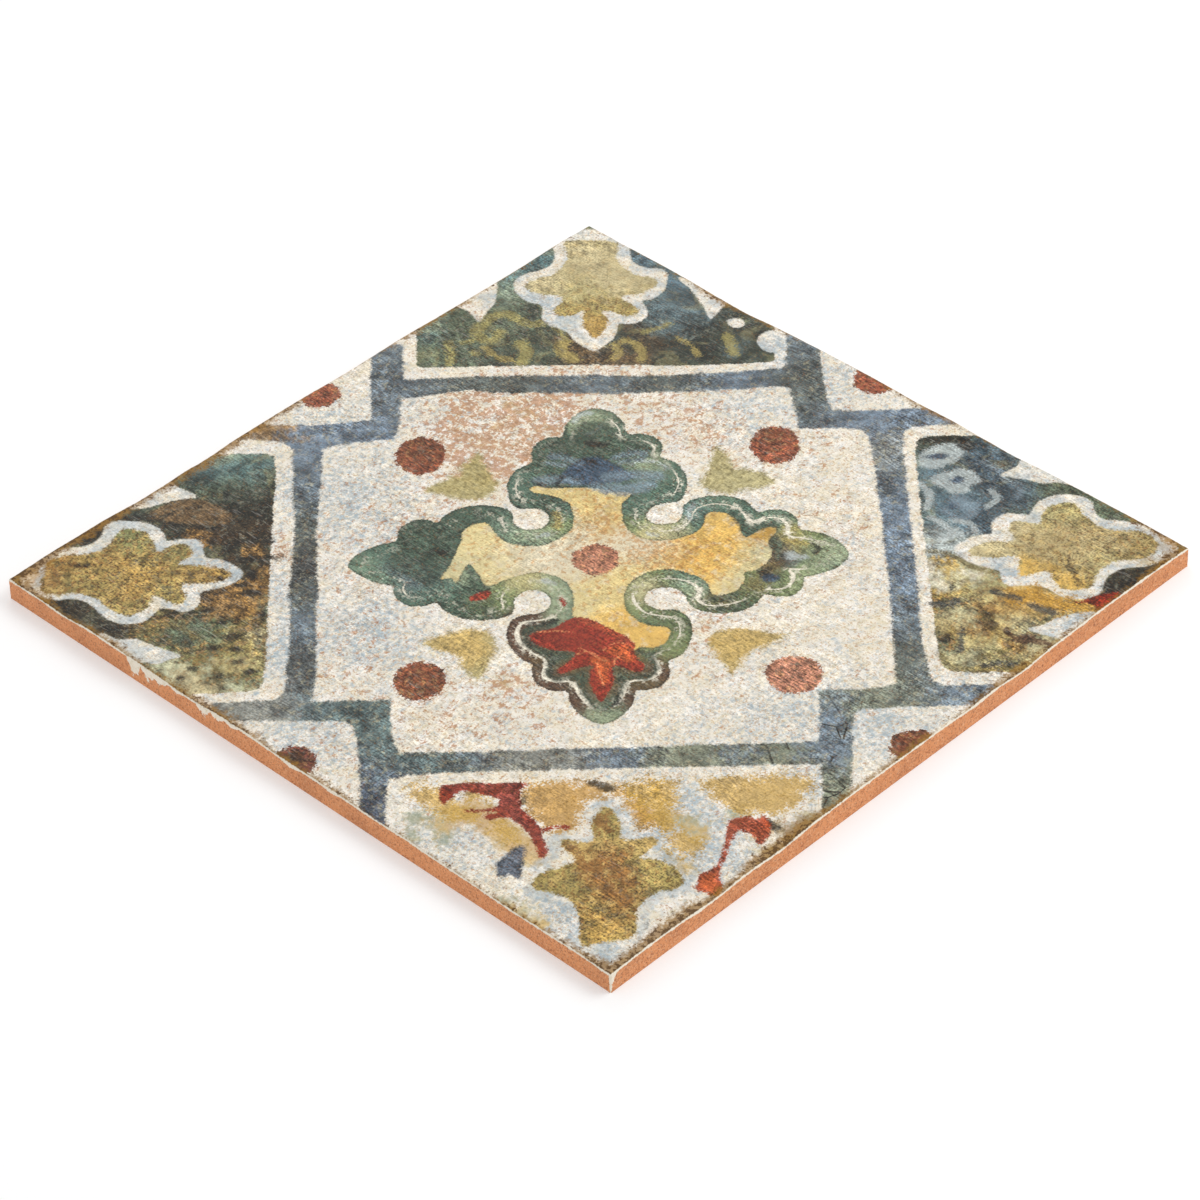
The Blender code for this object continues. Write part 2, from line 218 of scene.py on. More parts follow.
# The pale outlines round the fleurs, and the pale wedges and drops at the tile's edges
HALOES = (
    (-15.4, 226, -15.2, 213, -16.4, 206.5, -21.6, 201.8, -28, 199.8, -32.2, 195.4, -33, 190, -31, 184,
     -27, 179, -21.6, 176.8, -20.8, 172, -21.4, 167, -18.4, 162, -14, 158.8, -10.4, 156, -8, 151, -4, 146,
     0.5, 142.4, 5, 146, 9, 151, 10.6, 156, 11.2, 161.2, 16.4, 161.2, 21, 163, 23.6, 167, 23.2, 172,
     21.6, 177.2, 26, 179, 30.6, 184, 32.4, 190, 33, 196, 30.8, 200.6, 25, 201.6, 20, 205, 17.4, 210.4,
     15.6, 226, 0, 232),
    (-222, 14, -213, 18.4, -205, 20, -200, 24, -198.2, 29, -197.4, 33, -193, 35.6, -187, 35.4, -181, 34.4,
     -176, 30.4, -173.4, 26, -172.4, 22.6, -167, 23.2, -161, 23, -158, 20, -157.4, 15, -156, 11, -150, 9.6,
     -145, 6, -141, 1, -143, -4, -148, -7.6, -154, -9.4, -157.4, -11, -157.4, -16, -159, -20.6,
     -164, -22.6, -168.4, -20.6, -173, -20.6, -176, -25, -180, -28.6, -186, -29.6, -191, -28, -195, -24.4,
     -198, -19.4, -201, -15.6, -205, -13, -210, -12.4, -215, -13, -226, -8, -229, 2),
    (0.5, -138, 5, -142, 9, -149, 10.6, -155, 11, -157.4, 16, -157, 21, -159.6, 22, -164, 20.4, -168,
     26, -170.6, 31, -175, 33, -181, 32, -187, 27, -192, 20, -195, 15.6, -202, 13.4, -211, 8, -220,
     -3, -229, -14, -218, -14.6, -206, -18, -197, -25, -193.6, -30, -190, -32, -183, -30, -177, -26, -172,
     -20.4, -170, -22, -165, -21, -160, -17, -156.6, -11, -157, -10, -153, -8.4, -147, -4, -141),
    (141, 2.4, 142.4, 6, 147, 10, 153, 12.4, 157, 12.8, 157, 18, 159.4, 22.6, 164, 25.4, 170, 24.6,
     173, 24.2, 174.6, 28, 178, 33, 184, 36.4, 191, 36.8, 197, 34, 199, 30, 199.2, 25, 201.4, 21,
     205, 19.6, 213, 18, 226, 10, 229, -3, 217, -10.4, 208, -11.6, 204, -13.4, 200, -17, 198, -22,
     196, -27, 192, -30, 186, -30.4, 180, -27.6, 176, -23, 171, -20.4, 165, -20.6, 160, -20, 158, -16,
     158, -11, 155, -9.4, 148, -6, 143.6, -2.2),
    (-60, 182, -57, 177, -52, 172.4, -47.6, 165.4, -44.6, 172, -41.4, 179, -40.4, 186, -42, 196),
    (38, 195, 42.6, 186, 45, 180, 48, 172, 50, 163.4, 52.6, 168, 55.4, 173, 62, 186),
    (-196, 52, -190, 44.4, -182, 44.6, -176, 47, -168, 49.4, -161.6, 50.2, -165, 54, -171, 58.6, -178, 66),
    (-196, -36, -188, -39.4, -182, -39, -176, -42, -168, -46.4, -163.4, -49.6, -168, -51.6, -172, -54,
     -180, -53, -190, -60),
    (196, 42, 187, 45, 180, 44.8, 174, 47.4, 168, 49.4, 163, 50.6, 166.4, 54, 171, 57.6, 178, 68),
    (166, -47.4, 172, -45, 178, -41.4, 186, -39, 194, -40, 186, -52, 178, -54, 171, -50.6),
)

HALO_DROPS = ((61, 161.4, 3.8, 3.8), (76.6, 146.4, 7.2, 8.4), (79.6, 135, 3.6, 9))

# The round dots: the place and the two radii
DOTS = (
    (-1, 3.4, 9.4, 9.6), (-71.4, 73.6, 10.2, 12.6), (73.4, 74.4, 10, 12.8),
    (-70.4, -68.4, 10.3, 11.6), (74, -70.6, 11, 11.3), (-114, 116.6, 8.6, 9.4),
    (116.6, 117, 9, 9.6), (-117, -113.4, 8.6, 9.2), (117.6, -114.4, 9.8, 9),
)

# The trefoils between the arms of the cross
TREFOILS = (
    (-51.4, 43, -45, 44.4, -40.6, 49, -40.6, 55, -43, 61, -45.4, 68, -47.6, 74, -51, 71, -54.4, 66,
     -55.4, 60, -59.4, 59, -64.4, 56, -70, 50.4, -65, 48, -59.6, 46.6, -56, 44),
    (50.4, 44, 44.4, 46.4, 42, 51, 44.4, 56, 46, 62, 47, 68, 49.6, 74, 53.4, 69, 55, 64, 56.4, 59.4,
     62, 58.8, 67.6, 56, 72.4, 49.6, 66.4, 46.4, 59.6, 45.8, 55, 43.6),
    (-52, -38, -46, -39, -41.6, -43.4, -41, -50, -43, -56, -44.6, -62, -47, -69, -50.6, -66, -54, -60,
     -56, -54.4, -60, -51.4, -65, -49.4, -70, -46, -65, -42.6, -60, -40.4, -56, -38.6),
    (52, -41.4, 46, -43, 42, -47, 42.6, -53, 44.4, -58, 47, -63, 50, -69, 53, -64, 56, -58.4, 60, -54.6,
     66, -51.6, 75, -46, 68, -46, 63, -44, 58, -42),
)

# The large brick-red leaf, which is one of the patches
LEAF = (
    -27.6, -43, -22, -40, -17, -38, -13.4, -34.2, -8.6, -32.4, -3.4, -34.2, 1.4, -37.6, 5, -41, 9.4, -44.4,
    13, -48.6, 13.4, -52, 12.6, -55, 14.4, -59, 16.6, -62.4, 15.4, -66, 11, -65.4, 6.6, -62.6, 4.2, -64,
    4.6, -69, 3.6, -75, 1.6, -80, -0.8, -83.4, -3.2, -78, -4.8, -72, -4.6, -66, -3.6, -62.4, -7, -62.2,
    -11.6, -64.4, -15.4, -66.4, -17, -64, -14.4, -60.6, -11, -57, -10.4, -54.2, -14.4, -52.6, -20, -51.6,
    -25, -48.4,
)

# Patches of the finer brushwork, by paint, in the order in which they are laid
PATCHES = {
    "gold": (
        (-28, -128.5, -31, -137, -31, -143, -27, -149, -22.6, -155, -14, -156, -10, -152, -9, -146,
         -5, -140, 0, -137.5, 5, -139, 10, -147, 12, -154, 21, -156, 19, -148, 14, -140, 10, -135, 5, -132,
         -4, -129),
        (16, -129.4, 20, -131, 21.4, -138, 23.4, -143.6, 20, -144.4, 17.6, -138),
        (160, -24, 168, -21.4, 175, -24, 180, -29, 190, -32, 196, -40, 186, -41, 178, -38, 168, -34,
         160, -31),
    ),
    "sand_gold": (
        (-74, -129.4, -62, -129.4, -57, -133, -54, -139, -46, -146, -50, -150, -60, -147, -68, -141,
         -73, -135),
        (36, -129.4, 75, -129.4, 74.4, -141, 70, -147, 62, -150.6, 55, -150.4, 48, -149, 42, -144.6,
         39, -137, 36, -133),
        (22, -160, 29, -158, 34, -163, 33, -170, 26, -172, 22, -167),
        (10, -131, 22, -129.6, 27, -134, 27, -142, 24, -149, 27, -156, 22, -158, 17, -151, 12, -143,
         8, -137),
        (-50, -129.4, -44, -133, -40, -131, -42, -137, -48, -139, -54, -136),
        (-40, -150, -34, -157, -31, -165, -38, -160, -43, -155),
    ),
    "mist": (
        (131, 58, 132, 65, 137, 70.6, 145, 73.4, 151, 71, 149, 64, 144, 59, 137, 56),
        (135, 47, 138, 52.4, 143, 53.4, 147, 56, 153, 53, 155, 47, 151, 44, 150, 40, 143, 39.4, 140, 43),
        (74, 4, 77, 5, 80, 2, 82, 2.6, 83, 0.6, 79, 0, 76, -1, 74, 1),
    ),
    "leaf_brown": (
        (-181, 39, -178, 44, -172, 47, -165, 49, -158, 47.4, -152, 43, -147, 37, -148, 32.6, -155, 32,
         -163, 33, -171, 34, -178, 36),
    ),
    "pine": (
        (-29, 62, -22, 76, -14, 83, -9, 84, -6, 92, 0, 94, 6, 91, 9, 83, 14, 80, 22, 77, 23, 70, 18, 67,
         10, 66, 2, 70, -8, 72, -16, 67, -24, 64),
        (-60, 28, -57, 16, -61, 4, -64, -6, -68, -10, -76, -4, -84, 4, -80, 14, -78, 26, -70, 28),
        (-50.4, -1, -48, -6, -45.4, -11, -42.6, -14.6, -50, -17, -54, -15, -52.6, -8),
        (69, 15, 73, 13, 74.4, 9, 72.4, 5, 73, 0, 70.4, -1, 69.6, 5, 68.2, 10),
        (-17, -53, -11.4, -56.4, -17.6, -61, -19.4, -66, -15, -68.4, -8, -65.4, -5.4, -68, -6.4, -76,
         -3, -84, 0, -87, 4, -83, 7, -76, 6, -68.6, 8, -66.6, 14, -68.6, 19, -67, 19.4, -62, 16, -57,
         14.4, -53, 18, -55, 24, -52, 21, -58, 22, -66, 18, -71, 10, -71.6, 7.6, -79, 3, -88, -4, -87,
         -8.6, -77, -11, -71, -18, -70.4, -22, -66, -21, -58, -27, -52, -31, -45, -30, -38, -24, -36,
         -17, -34, -18, -37, -26, -40, -29, -44, -26, -49, -20, -52.4),
    ),
    "navy": (
        (-16, 54, -13, 61, -9, 67, -3, 70, 3, 68.6, 8, 64, 13, 60, 16, 55, 4, 52, -6, 51),
        (64, -10, 68, -8.6, 71.4, -11, 69, -14, 65, -13.6),
        (-31, -163.4, -29.8, -167, -31, -173, -32.4, -181.6, -36, -180, -40, -179.6, -41, -175,
         -38.4, -170, -35, -166),
    ),
    "ink": (
        (-7, -129, -2, -128.8, 2, -131, 4.4, -134, 2, -135.8, -2, -134, -6, -131),
        (57.6, -152.4, 60.6, -152.6, 65.4, -157.4, 62.4, -159.4, 59.6, -157),
        (-209, 20.4, -203, 20.8, -199.4, 23.6, -198.2, 28, -199.4, 31, -203, 27.4, -208, 24),
        (-217, -14, -210, -12.6, -205, -13.8, -202, -17, -206, -18, -213, -17),
        (-196, -27, -190, -30, -188, -36, -194, -33),
        (197.6, -22, 201, -16.6, 206, -13.4, 213, -12.6, 216, -15, 206, -27, 200, -29),
        (219, -8.4, 224, -6, 226, -9, 219.6, -13),
        (130.6, 76.4, 142, 77, 152, 76.6, 156, 72, 150, 68, 146, 73, 136, 73.6),
    ),
    "maroon": (
        (-62, -130, -56, -128.6, -44, -128.4, -29, -129.4, -31.6, -133.4, -32, -139, -30.4, -144.6,
         -26.6, -150, -24, -155, -23.6, -160, -21.4, -166, -22, -169.6, -25, -171, -26.6, -165, -28, -159,
         -31.6, -153, -36.6, -148.4, -44, -149, -46.4, -146.6, -40.4, -145, -52, -144.6, -52.4, -143.4,
         -42, -142.6, -40.4, -138, -46, -135.4, -52, -133, -56, -135, -59.4, -139.6, -61.4, -140),
        (190, -30.6, 195, -28.6, 199.4, -27.6, 204, -27, 200, -36, 194.4, -38, 192, -33.6, 185, -32.4),
    ),
    "russet": (
        (45, -155, 48, -152, 52.4, -151.2, 56.6, -152, 58.6, -149.4, 60.4, -153.4, 61, -158, 60, -162,
         57, -166, 54, -162, 50, -158.4, 47.4, -161, 45.4, -168, 43, -175, 41.4, -180, 42, -186,
         41, -192.6, 36, -191, 31.6, -188, 33.4, -182.4, 38, -179.6, 41.4, -174, 43.6, -166),
    ),
    "brick": (LEAF, (-52, -19.4, -48, -16, -43, -14.8, -44.4, -19.4, -49, -20.8)),
    "orange": (
        (-4, -58, 1, -57, 4, -61, 2, -66, 3, -71, 0.6, -73, -1.6, -69, -3, -63),
        (2, -52, 8, -50, 12, -52, 11.6, -56, 14, -60, 9.6, -60, 5, -56),
        (38, -181, 41, -186, 39.6, -191.4, 36, -190, 33, -187.6, 35, -183),
    ),
}

# Strokes of the finer brushwork, by paint: the brush's width, then its path
STROKES = {
    "fern_pale": (
        (5, -20.6, 164, -26, 162.6, -31, 166, -36, 170.4, -42, 168.6, -46, 163.6, -49, 157.6, -46, 152.6,
         -41, 153.4, -39.6, 158),
        (4, -60.4, 150, -59.6, 143, -60, 136), (3, -54.6, 151, -50, 152.4),
        (6, -30, 149, -28, 143, -30, 136), (3, -15, 160, -13, 155, -10.6, 150),
        (2.4, 22, 155, 27, 157, 33, 160.6), (5, 56.6, 151, 58, 145, 59, 138), (4, -50.2, 143.4, -49, 143),
    ),
    "olive": (
        (6, -12, 149, -13, 143, -8, 137), (4, 8.4, 147, 11, 141, 9, 137),
        (4, 12.6, 149, 18, 147.4, 20.4, 141, 20, 135), (3, 73, 12, 78, 11.4, 83, 9.6),
        (3, -16.4, 33, -15.4, 28, -16.4, 24), (3, -46, 147, -41, 141, -34, 137),
        (2.4, 36, 150, 41, 145, 44, 138),
    ),
    "rust_brown": (
        (6, -13, -167, -7, -178, -1, -187, 6, -196), (5, -2, -172, 4, -180, 9, -186),
        (4, -2, -150, -1, -156),
    ),
    "umber": (
        (2, 148.6, -31, 149.6, -37, 151, -42), (3, -149, 2, -143, 0, -136, 3),
        (2.6, -152, -5, -148, -11, -141, -14), (2, -158, 24, -150, 22, -144, 25), (1.2, 8, -197, 13, -207),
        (1.4, 186, -2, 186.6, -12, 189, -21), (1.6, -60, -131, -57, -135, -60, -138),
        (1.6, -57, -130.4, -52, -133, -55, -137), (1, 46, -155, 50, -158, 55, -160),
        (1, 50, -153, 55, -156, 59, -157), (0.9, -30, -138, -31, -145, -27, -153),
    ),
    "mist": (
        (3, 131, 46, 134, 39, 132, 30), (3, 133, 24, 138, 20, 141, 13, 136, 9),
        (3, 143, 22, 149, 19, 151, 13), (2.4, 156, 30, 161, 35, 159, 41),
        (1.8, 13.6, 64, 19, 66.4, 25, 65, 29, 61), (2, -8.6, 94, -6, 98, -2, 99.4),
        (1.4, -3, 85.4, 0.4, 87, 2.6, 91), (1.6, -24, 18.6, -20, 20), (2, -22, -9, -18, -11),
        (1.8, 36.6, 28, 36.8, 33, 39.4, 36.4), (1.8, 20, 18.6, 24, 17.6),
    ),
    "pine": (
        (3, 54, 30, 57.4, 24, 58.8, 17.4, 63, 20, 68, 23, 72, 22), (2.4, 58, -26.4, 50, -30, 43, -29.4),
        (2, 44, -23.6, 49, -24, 54, -21),
    ),
    "cobalt": (
        (4, -24, 55, -16, 56.4, -8, 53.6), (6, 0, 50, 10, 48.4, 22, 51), (6, 5, 56, 14, 57, 25, 56),
        (3, -18, 71, -12, 69, -7, 66), (3, 8, 69, 14, 71.4, 20, 71),
    ),
    "steel_pale": (
        (2.4, 2, 47, 12, 45, 20, 47), (2.4, -20, 66.6, -13, 64.6), (2.4, 10, 66, 18, 67),
        (2, -22, 52.6, -15, 53.4), (7, 145, 35, 150, 29), (2.6, 139, 29, 144, 24, 151, 26, 153, 33),
        (2.4, 166, 48, 171, 42, 169, 36), (2, 158, 22, 162, 25), (3, 158, 60, 163, 54, 166, 47),
    ),
    "olive_dark": (
        (2.4, 131, 3, 137, 1.6, 142, -2, 148, -8.4, 155, -11.6),
        (3, 131, -61, 134, -67, 141, -70.6, 150, -71, 158, -68), (2, 145, -64, 151, -60.6, 158, -59.6),
        (3, -170, -30, -163, -33, -158, -38), (2.4, -158, -50, -152, -53, -149, -58),
        (2.4, -137, -27, -142, -33, -150, -35),
    ),
    "ink": (
        (4, -3, 79, 3, 78), (2, -9, 64.6, -5, 68, 0, 66), (2, -14, 57.6, -15.6, 52.4),
        (1.6, -25, 53.4, -20.6, 51.6), (3, 65, -7.6, 68, -5.6), (2, 72.6, 1.4, 71.6, -1),
        (2, 85, 9.4, 87.4, 7, 86, 4), (2, -27.6, -35.4, -21, -35.6, -17, -33.6), (2, 6, -82.6, 4, -86),
        (3, -66, 11, -60, 10), (2.4, -181, 40, -176, 35.4, -168, 32.2, -160, 30.6, -150, 30.4, -145, 34),
        (1.6, -175, 37, -169, 42, -160, 44), (4, -150, 14, -146, 18.6, -140, 21.4, -131, 21),
        (3.4, -144, 10, -138, 9, -131, 10.6), (4, -141, 6, -138, 2, -137, -1.6),
        (3, -172, -21, -169, -23, -165, -22.6, -161, -23.4), (2.4, -193, 38, -187, 37.4, -181, 39),
    ),
    "ink_soft": (
        (4, 130, -30, 135, -31.4, 140, -29), (2.6, 140.6, -45, 139.6, -52, 139, -60),
        (2.8, 154, -24, 158.6, -26), (3, 160.4, -26.6, 164.6, -29), (3.6, 168, -32, 172, -35.4, 177, -38),
        (2.6, 147, -68, 153, -66, 160, -67),
    ),
    "bark": ((3, 166, -54, 171, -55.6, 174, -58), (1.8, 157.6, -46, 158.4, -50, 162, -52)),
    "brick": ((2, -23, -155.6, -18, -154, -14.6, -154.6), (2, -15.6, -20.6, -14.4, -22.6, -13.8, -24.6)),
    "vein": (
        (0.9, -25, -41, -17, -40.4, -11, -41.6), (0.9, -9, -51, -4.6, -54, -0.4, -58, 2, -59.4),
        (0.9, 0.6, -53, 3.4, -49.8, 7, -48.6, 10.4, -49.6), (0.9, -9.6, -55, -5, -53.4, -1, -57),
        (0.9, 4.6, -62, 5.4, -58, 8, -57), (0.9, -2, -60, -0.6, -68, 0.6, -74),
    ),
}

# Single dabs of the finer brushwork, by paint: the place and the two radii
DABS = {
    "navy": ((139, 64, 4.4, 1.8), (145.6, 48, 3, 2.4), (143.4, 32, 2, 2.6)),
    "umber": (
        (-118, -111, 5, 4), (-150, 24, 6, 3), (-136, 20, 5, 2.4), (-164, 26, 4, 2), (-128, 10, 3, 2),
        (-150, -3, 4, 2), (151, -44, 4.2, 2.8), (-138, -1, 3, 2), (-146, 10, 4, 2), (-158, 2, 3, 1.6),
        (-134, 31, 2.4, 1.6), (-205, 8, 3, 1.4),
    ),
    "ink": (
        (-143.4, -39, 3.4, 2.4), (-142.4, -46.4, 2.2, 1.6), (-141.2, -53.8, 2.2, 1.6), (-152, -45, 3, 2),
        (-136, -60, 2.4, 1.8), (-158, -57, 2.6, 1.6), (-147, -62, 2, 1.6), (-138, -12, 4.6, 2.4),
        (-142, -7, 3, 1.4), (-148, -30, 2.4, 1.6), (-154, -22, 2.6, 1.8), (139.4, -20.4, 1.6, 1.4),
        (133, -52, 2.4, 2.4), (-133, -25, 2, 2), (-163, -62, 1.8, 1.2),
    ),
    "bark": ((164, -53, 4.6, 2.8),),
}

# How each of these paints is laid: how ragged and how soft its edge is, and how well it covers
BRUSHES = {
    "gold": (4.4, 2.4, 0.85),
    "sand_gold": (4.4, 2.6, 0.85),
    "fern_pale": (1.6, 0.9, 0.8),
    "olive": (1.6, 0.9, 0.75),
    "mist": (1.2, 1.0, 0.75),
    "leaf_brown": (1.0, 1.0, 0.8),
    "bark": (1.0, 0.8, 0.85),
    "pine": (1.0, 1.4, 0.8),
    "navy": (1.0, 1.2, 0.92),
    "cobalt": (1.4, 1.8, 0.75),
    "steel_pale": (1.2, 1.4, 0.6),
    "olive_dark": (1.2, 1.1, 0.75),
    "rust_brown": (3.4, 1.2, 0.7),
    "umber": (1.6, 1.4, 0.7),
    "ink": (1.0, 1.0, 0.85),
    "ink_soft": (1.2, 1.0, 0.85),
    "maroon": (0.8, 0.7, 0.95),
    "russet": (0.9, 0.7, 0.95),
    "brick": (0.7, 0.5, 0.95),
    "orange": (1.4, 1.6, 0.6),
    "vein": (0.3, 0.3, 0.8),
}

# Paints that the pale wear leaves alone
GLOSSY = ("maroon", "russet", "navy", "brick", "orange")

# Soft washes, by layer: where each one is strongest, how far it spreads and how strong it is
WASHES = {
    "blue_wash": (
        (-98, 60, 24, 0.8), (-95, 25, 24, 0.7), (-96, -32, 26, 0.8), (-80, -50, 20, 0.5),
        (-80, 100, 16, 0.5), (-110, 102, 16, 0.7), (66, 100, 22, 0.7), (104, 112, 20, 0.7),
        (104, 0, 14, 0.3), (70, -88, 20, 0.6), (104, -104, 22, 1.0), (-112, -98, 22, 1.0),
        (-60, -160, 22, 0.7), (26, -148, 22, 1.0), (34, -172, 20, 1.0), (-16, -205, 16, 1.0),
        (0, -224, 12, 0.6), (-36, -100, 14, 0.4), (-128, -10, 12, 0.7), (-128, 50, 14, 0.5),
        (-126, -50, 16, 0.9), (50, -104, 30, 0.3), (160, -16, 12, 0.6), (182, -46, 14, 0.9),
        (-20, 174, 14, 0.7), (20, 168, 12, 0.5), (205, 19, 12, 0.7), (80, 140, 12, 1.0),
        (-150, 8, 20, 0.8), (78, -134, 12, 0.8), (150, -75, 14, 0.6),
    ),
    "rust_wash": (
        (-30, 100, 26, 1.7), (-48, 86, 26, 1.6), (-38, 68, 20, 1.2), (-18, 112, 16, 0.7),
        (-92, 6, 26, 0.7), (-66, 34, 26, 0.5), (28, 96, 24, 0.7), (44, 84, 24, 0.5), (-62, -92, 20, 0.7),
        (-36, -72, 10, 1.0), (-30, -92, 20, 0.5), (46, -36, 14, 0.8), (38, -64, 16, 0.6),
        (104, 16, 16, 0.4), (-96, -66, 20, 0.5), (20, 2, 16, 0.7), (-6, 22, 20, 0.5), (-126, 14, 10, 0.9),
        (12, 131, 18, 0.9), (-50, 176, 10, 0.7), (226, 2, 10, 0.9), (-226, 4, 10, 0.9), (88, 34, 18, 0.3),
        (92, 76, 16, 0.4), (60, 62, 16, 0.3), (-100, -110, 16, 0.4), (-90, -40, 18, 0.3),
    ),
    "line_strength": (
        (9, 88, 9, 0.9), (24, 75, 6, 1.2), (33, 51, 9, 1.1), (-32, 49, 8, 0.9), (-9.4, 84, 6, 0.5),
        (15.4, 29, 7, 0.8), (30, 21, 8, 0.8), (38, 29, 8, 1.1), (50, 36, 10, 1.1), (60, 28, 8, 1.2),
        (70, 26, 8, 1.1), (76, 19, 7, 1.2), (84, 12, 8, 0.7), (76, -11, 8, 1.2), (69, -18, 5, 0.8),
        (50, -27, 12, 0.7), (39, -20, 9, 1.2), (30, -11, 10, 0.7), (14, -24, 9, 0.9), (20, -32, 8, 0.6),
        (30, -42, 10, 0.7), (22, -62, 8, 1.2), (16, -71, 8, 1.3), (8, -79, 9, 1.3), (-8, -79, 9, 1.4),
        (-16, -71, 8, 1.3), (-22, -63, 9, 1.4), (-31, -46, 12, 1.4), (-25, -34, 8, 0.9),
        (-15, -24, 7, 0.6), (-24, -10, 8, 0.3), (-38, -22, 7, 0.8), (-59, -21, 5, 0.4), (-77, -12, 6, 0.9),
        (-37.6, 28, 6, 0.8), (-15, 31, 8, 0.6), (-90, 2, 8, 0.25),
    ),
    "line_width": (
        (61.6, 25, 5, 0.9), (75.6, 20, 5, 0.8), (39, -20, 7, 0.9), (76, -11, 5, 0.8), (14, -24, 6, 0.5),
        (22, -66, 6, 0.8), (8, -78, 8, 0.8), (-32, -43, 9, 0.9), (-22, -64, 8, 0.9), (-8, -79, 8, 1.1),
        (24, 75, 4, 0.4),
    ),
    "fill_rust": (
        (2, 24, 12, 1.2), (-2, 42, 10, 0.8), (20, 4, 14, 1.2), (40, 4, 16, 0.8), (-44, 10, 14, 0.4),
        (0, -14, 10, 0.4), (-12, 6, 12, 0.5),
    ),
    "grime": (
        (0, -233, 16, 0.7), (28, -206, 24, 0.9), (62, -170, 20, 1.0), (80, -150, 10, 0.5),
        (110, -126, 30, 0.5), (160, -76, 26, 0.7), (-40, -194, 50, 0.4), (-110, -124, 30, 0.4),
        (-150, -86, 24, 0.7), (-190, -44, 30, 0.5), (-222, 4, 24, 0.9), (-196, 36, 26, 0.7),
        (-160, 70, 30, 0.72), (-130, 100, 26, 0.5), (-60, 170, 50, 0.4), (60, 176, 40, 0.5),
        (140, 96, 30, 0.5), (220, 0, 24, 0.8), (190, -48, 24, 0.3),
    ),
    "cracks": ((66, -116, 34, 1.0), (90, -104, 18, 1.0), (126, 92, 16, 0.8), (82, -140, 20, 1.0)),
}

# Soft stains on the bare ground, by paint: the place, how far it spreads and how strong it is
STAINS = {
    "sand": ((-40, -206, 5, 0.9), (-30, -198, 5, 0.6), (56, -172, 8, 0.5), (20, -170, 5, 0.5)),
    "tan": (
        (-29, 100, 6, 0.7), (-40, 92, 5, 0.6), (-21, 91, 4, 0.5), (-50, 80, 5, 0.5), (-60, 68, 4, 0.4),
        (-37, -71, 5, 0.6), (-36, 108, 4, 0.6), (-30, -165, 7, 1.1), (-42, -152, 7, 1.0),
        (-50, -144, 7, 1.2), (15, -150, 6, 0.9), (13, -143, 5, 0.9), (56, -160, 5, 0.6),
        (170, -72, 6, 0.7), (-172, 62, 6, 0.8), (-190, 44, 6, 0.8), (-52, 180, 5, 0.5), (-224, 2, 7, 1.0),
        (-214, 9, 4, 0.6), (224, 2, 6, 0.9),
    ),
    "sand_gold": (
        (-36, -160, 7, 1.2), (-28, -172, 5, 0.9), (28, -178, 6, 0.9), (34, -160, 6, 1.1),
        (-44, -146, 5, 1.0), (-58, -146, 5, 0.9), (24, -150, 5, 0.6), (-26, -206, 5, 1.2),
        (-34, -203, 4, 1.0), (-60, -152, 5, 1.0),
    ),
    "mist_green": (
        (-70, -147, 6, 1.0), (-72, -158, 4, 0.9), (-60, -160, 6, 0.6), (-38, -194, 6, 1.0),
        (48, -150, 5, 1.0), (30, -152, 5, 0.8),
    ),
    "olive_dark": (
        (36, -206, 6, 1.3), (55, -184, 4, 0.9), (63, -171, 4, 1.0), (76, -154, 5, 1.3), (28, -213, 5, 1.2),
        (62, -156, 4, 0.8), (18, -222, 4, 1.2), (68, -166, 4, 1.2),
    ),
    "rust_brown": ((44, -198, 5, 1.2), (70, -160, 5, 1.3), (50, -189, 4, 1.0), (10, -228, 4, 1.2)),
    "ochre_dark": ((-214, -7, 5, 0.9), (216, -7, 5, 0.8)),
}

WASHES["stain"] = [place for places in STAINS.values() for place in places]

# Where each layer takes another paint than its own, by paint: the place and how far it spreads
STRAP_TINTS = {
    "strap_dark": (
        (-40, 121, 26), (30, 120, 20), (90, 112, 18), (-117, 26, 14), (-118, -14, 8), (118, -62, 16),
    ),
    "slate": (
        (0, 117, 14), (-86, 115, 16), (-117, 55, 14), (-116, -30, 10), (119, -38, 12), (119, 52, 14),
    ),
    "strap_blue": (
        (56, 119, 12), (120, 92, 20), (-105, 88, 18), (4, -116, 10), (50, -115, 6), (84, -116, 9),
        (87, -96, 9), (138, -84, 20), (119, -10, 16), (119, 24, 14),
    ),
    "ink": ((-117, 4, 12),),
    "ink_soft": ((-116, -55, 12),),
    "strap_teal": ((-94, -84, 14), (-86, -100, 14), (-64, -116, 14)),
    "strap_night": ((-48, -114, 5), (-87, -140, 20)),
    "strap_grey": ((-25, -116, 18), (119, 70, 10), (-140, -84, 16)),
    "strap_moss": ((30, -116, 16), (66, -116, 10), (110, -85, 20), (86, -140, 16)),
    "grime_light": ((-134, 92, 8),),
}

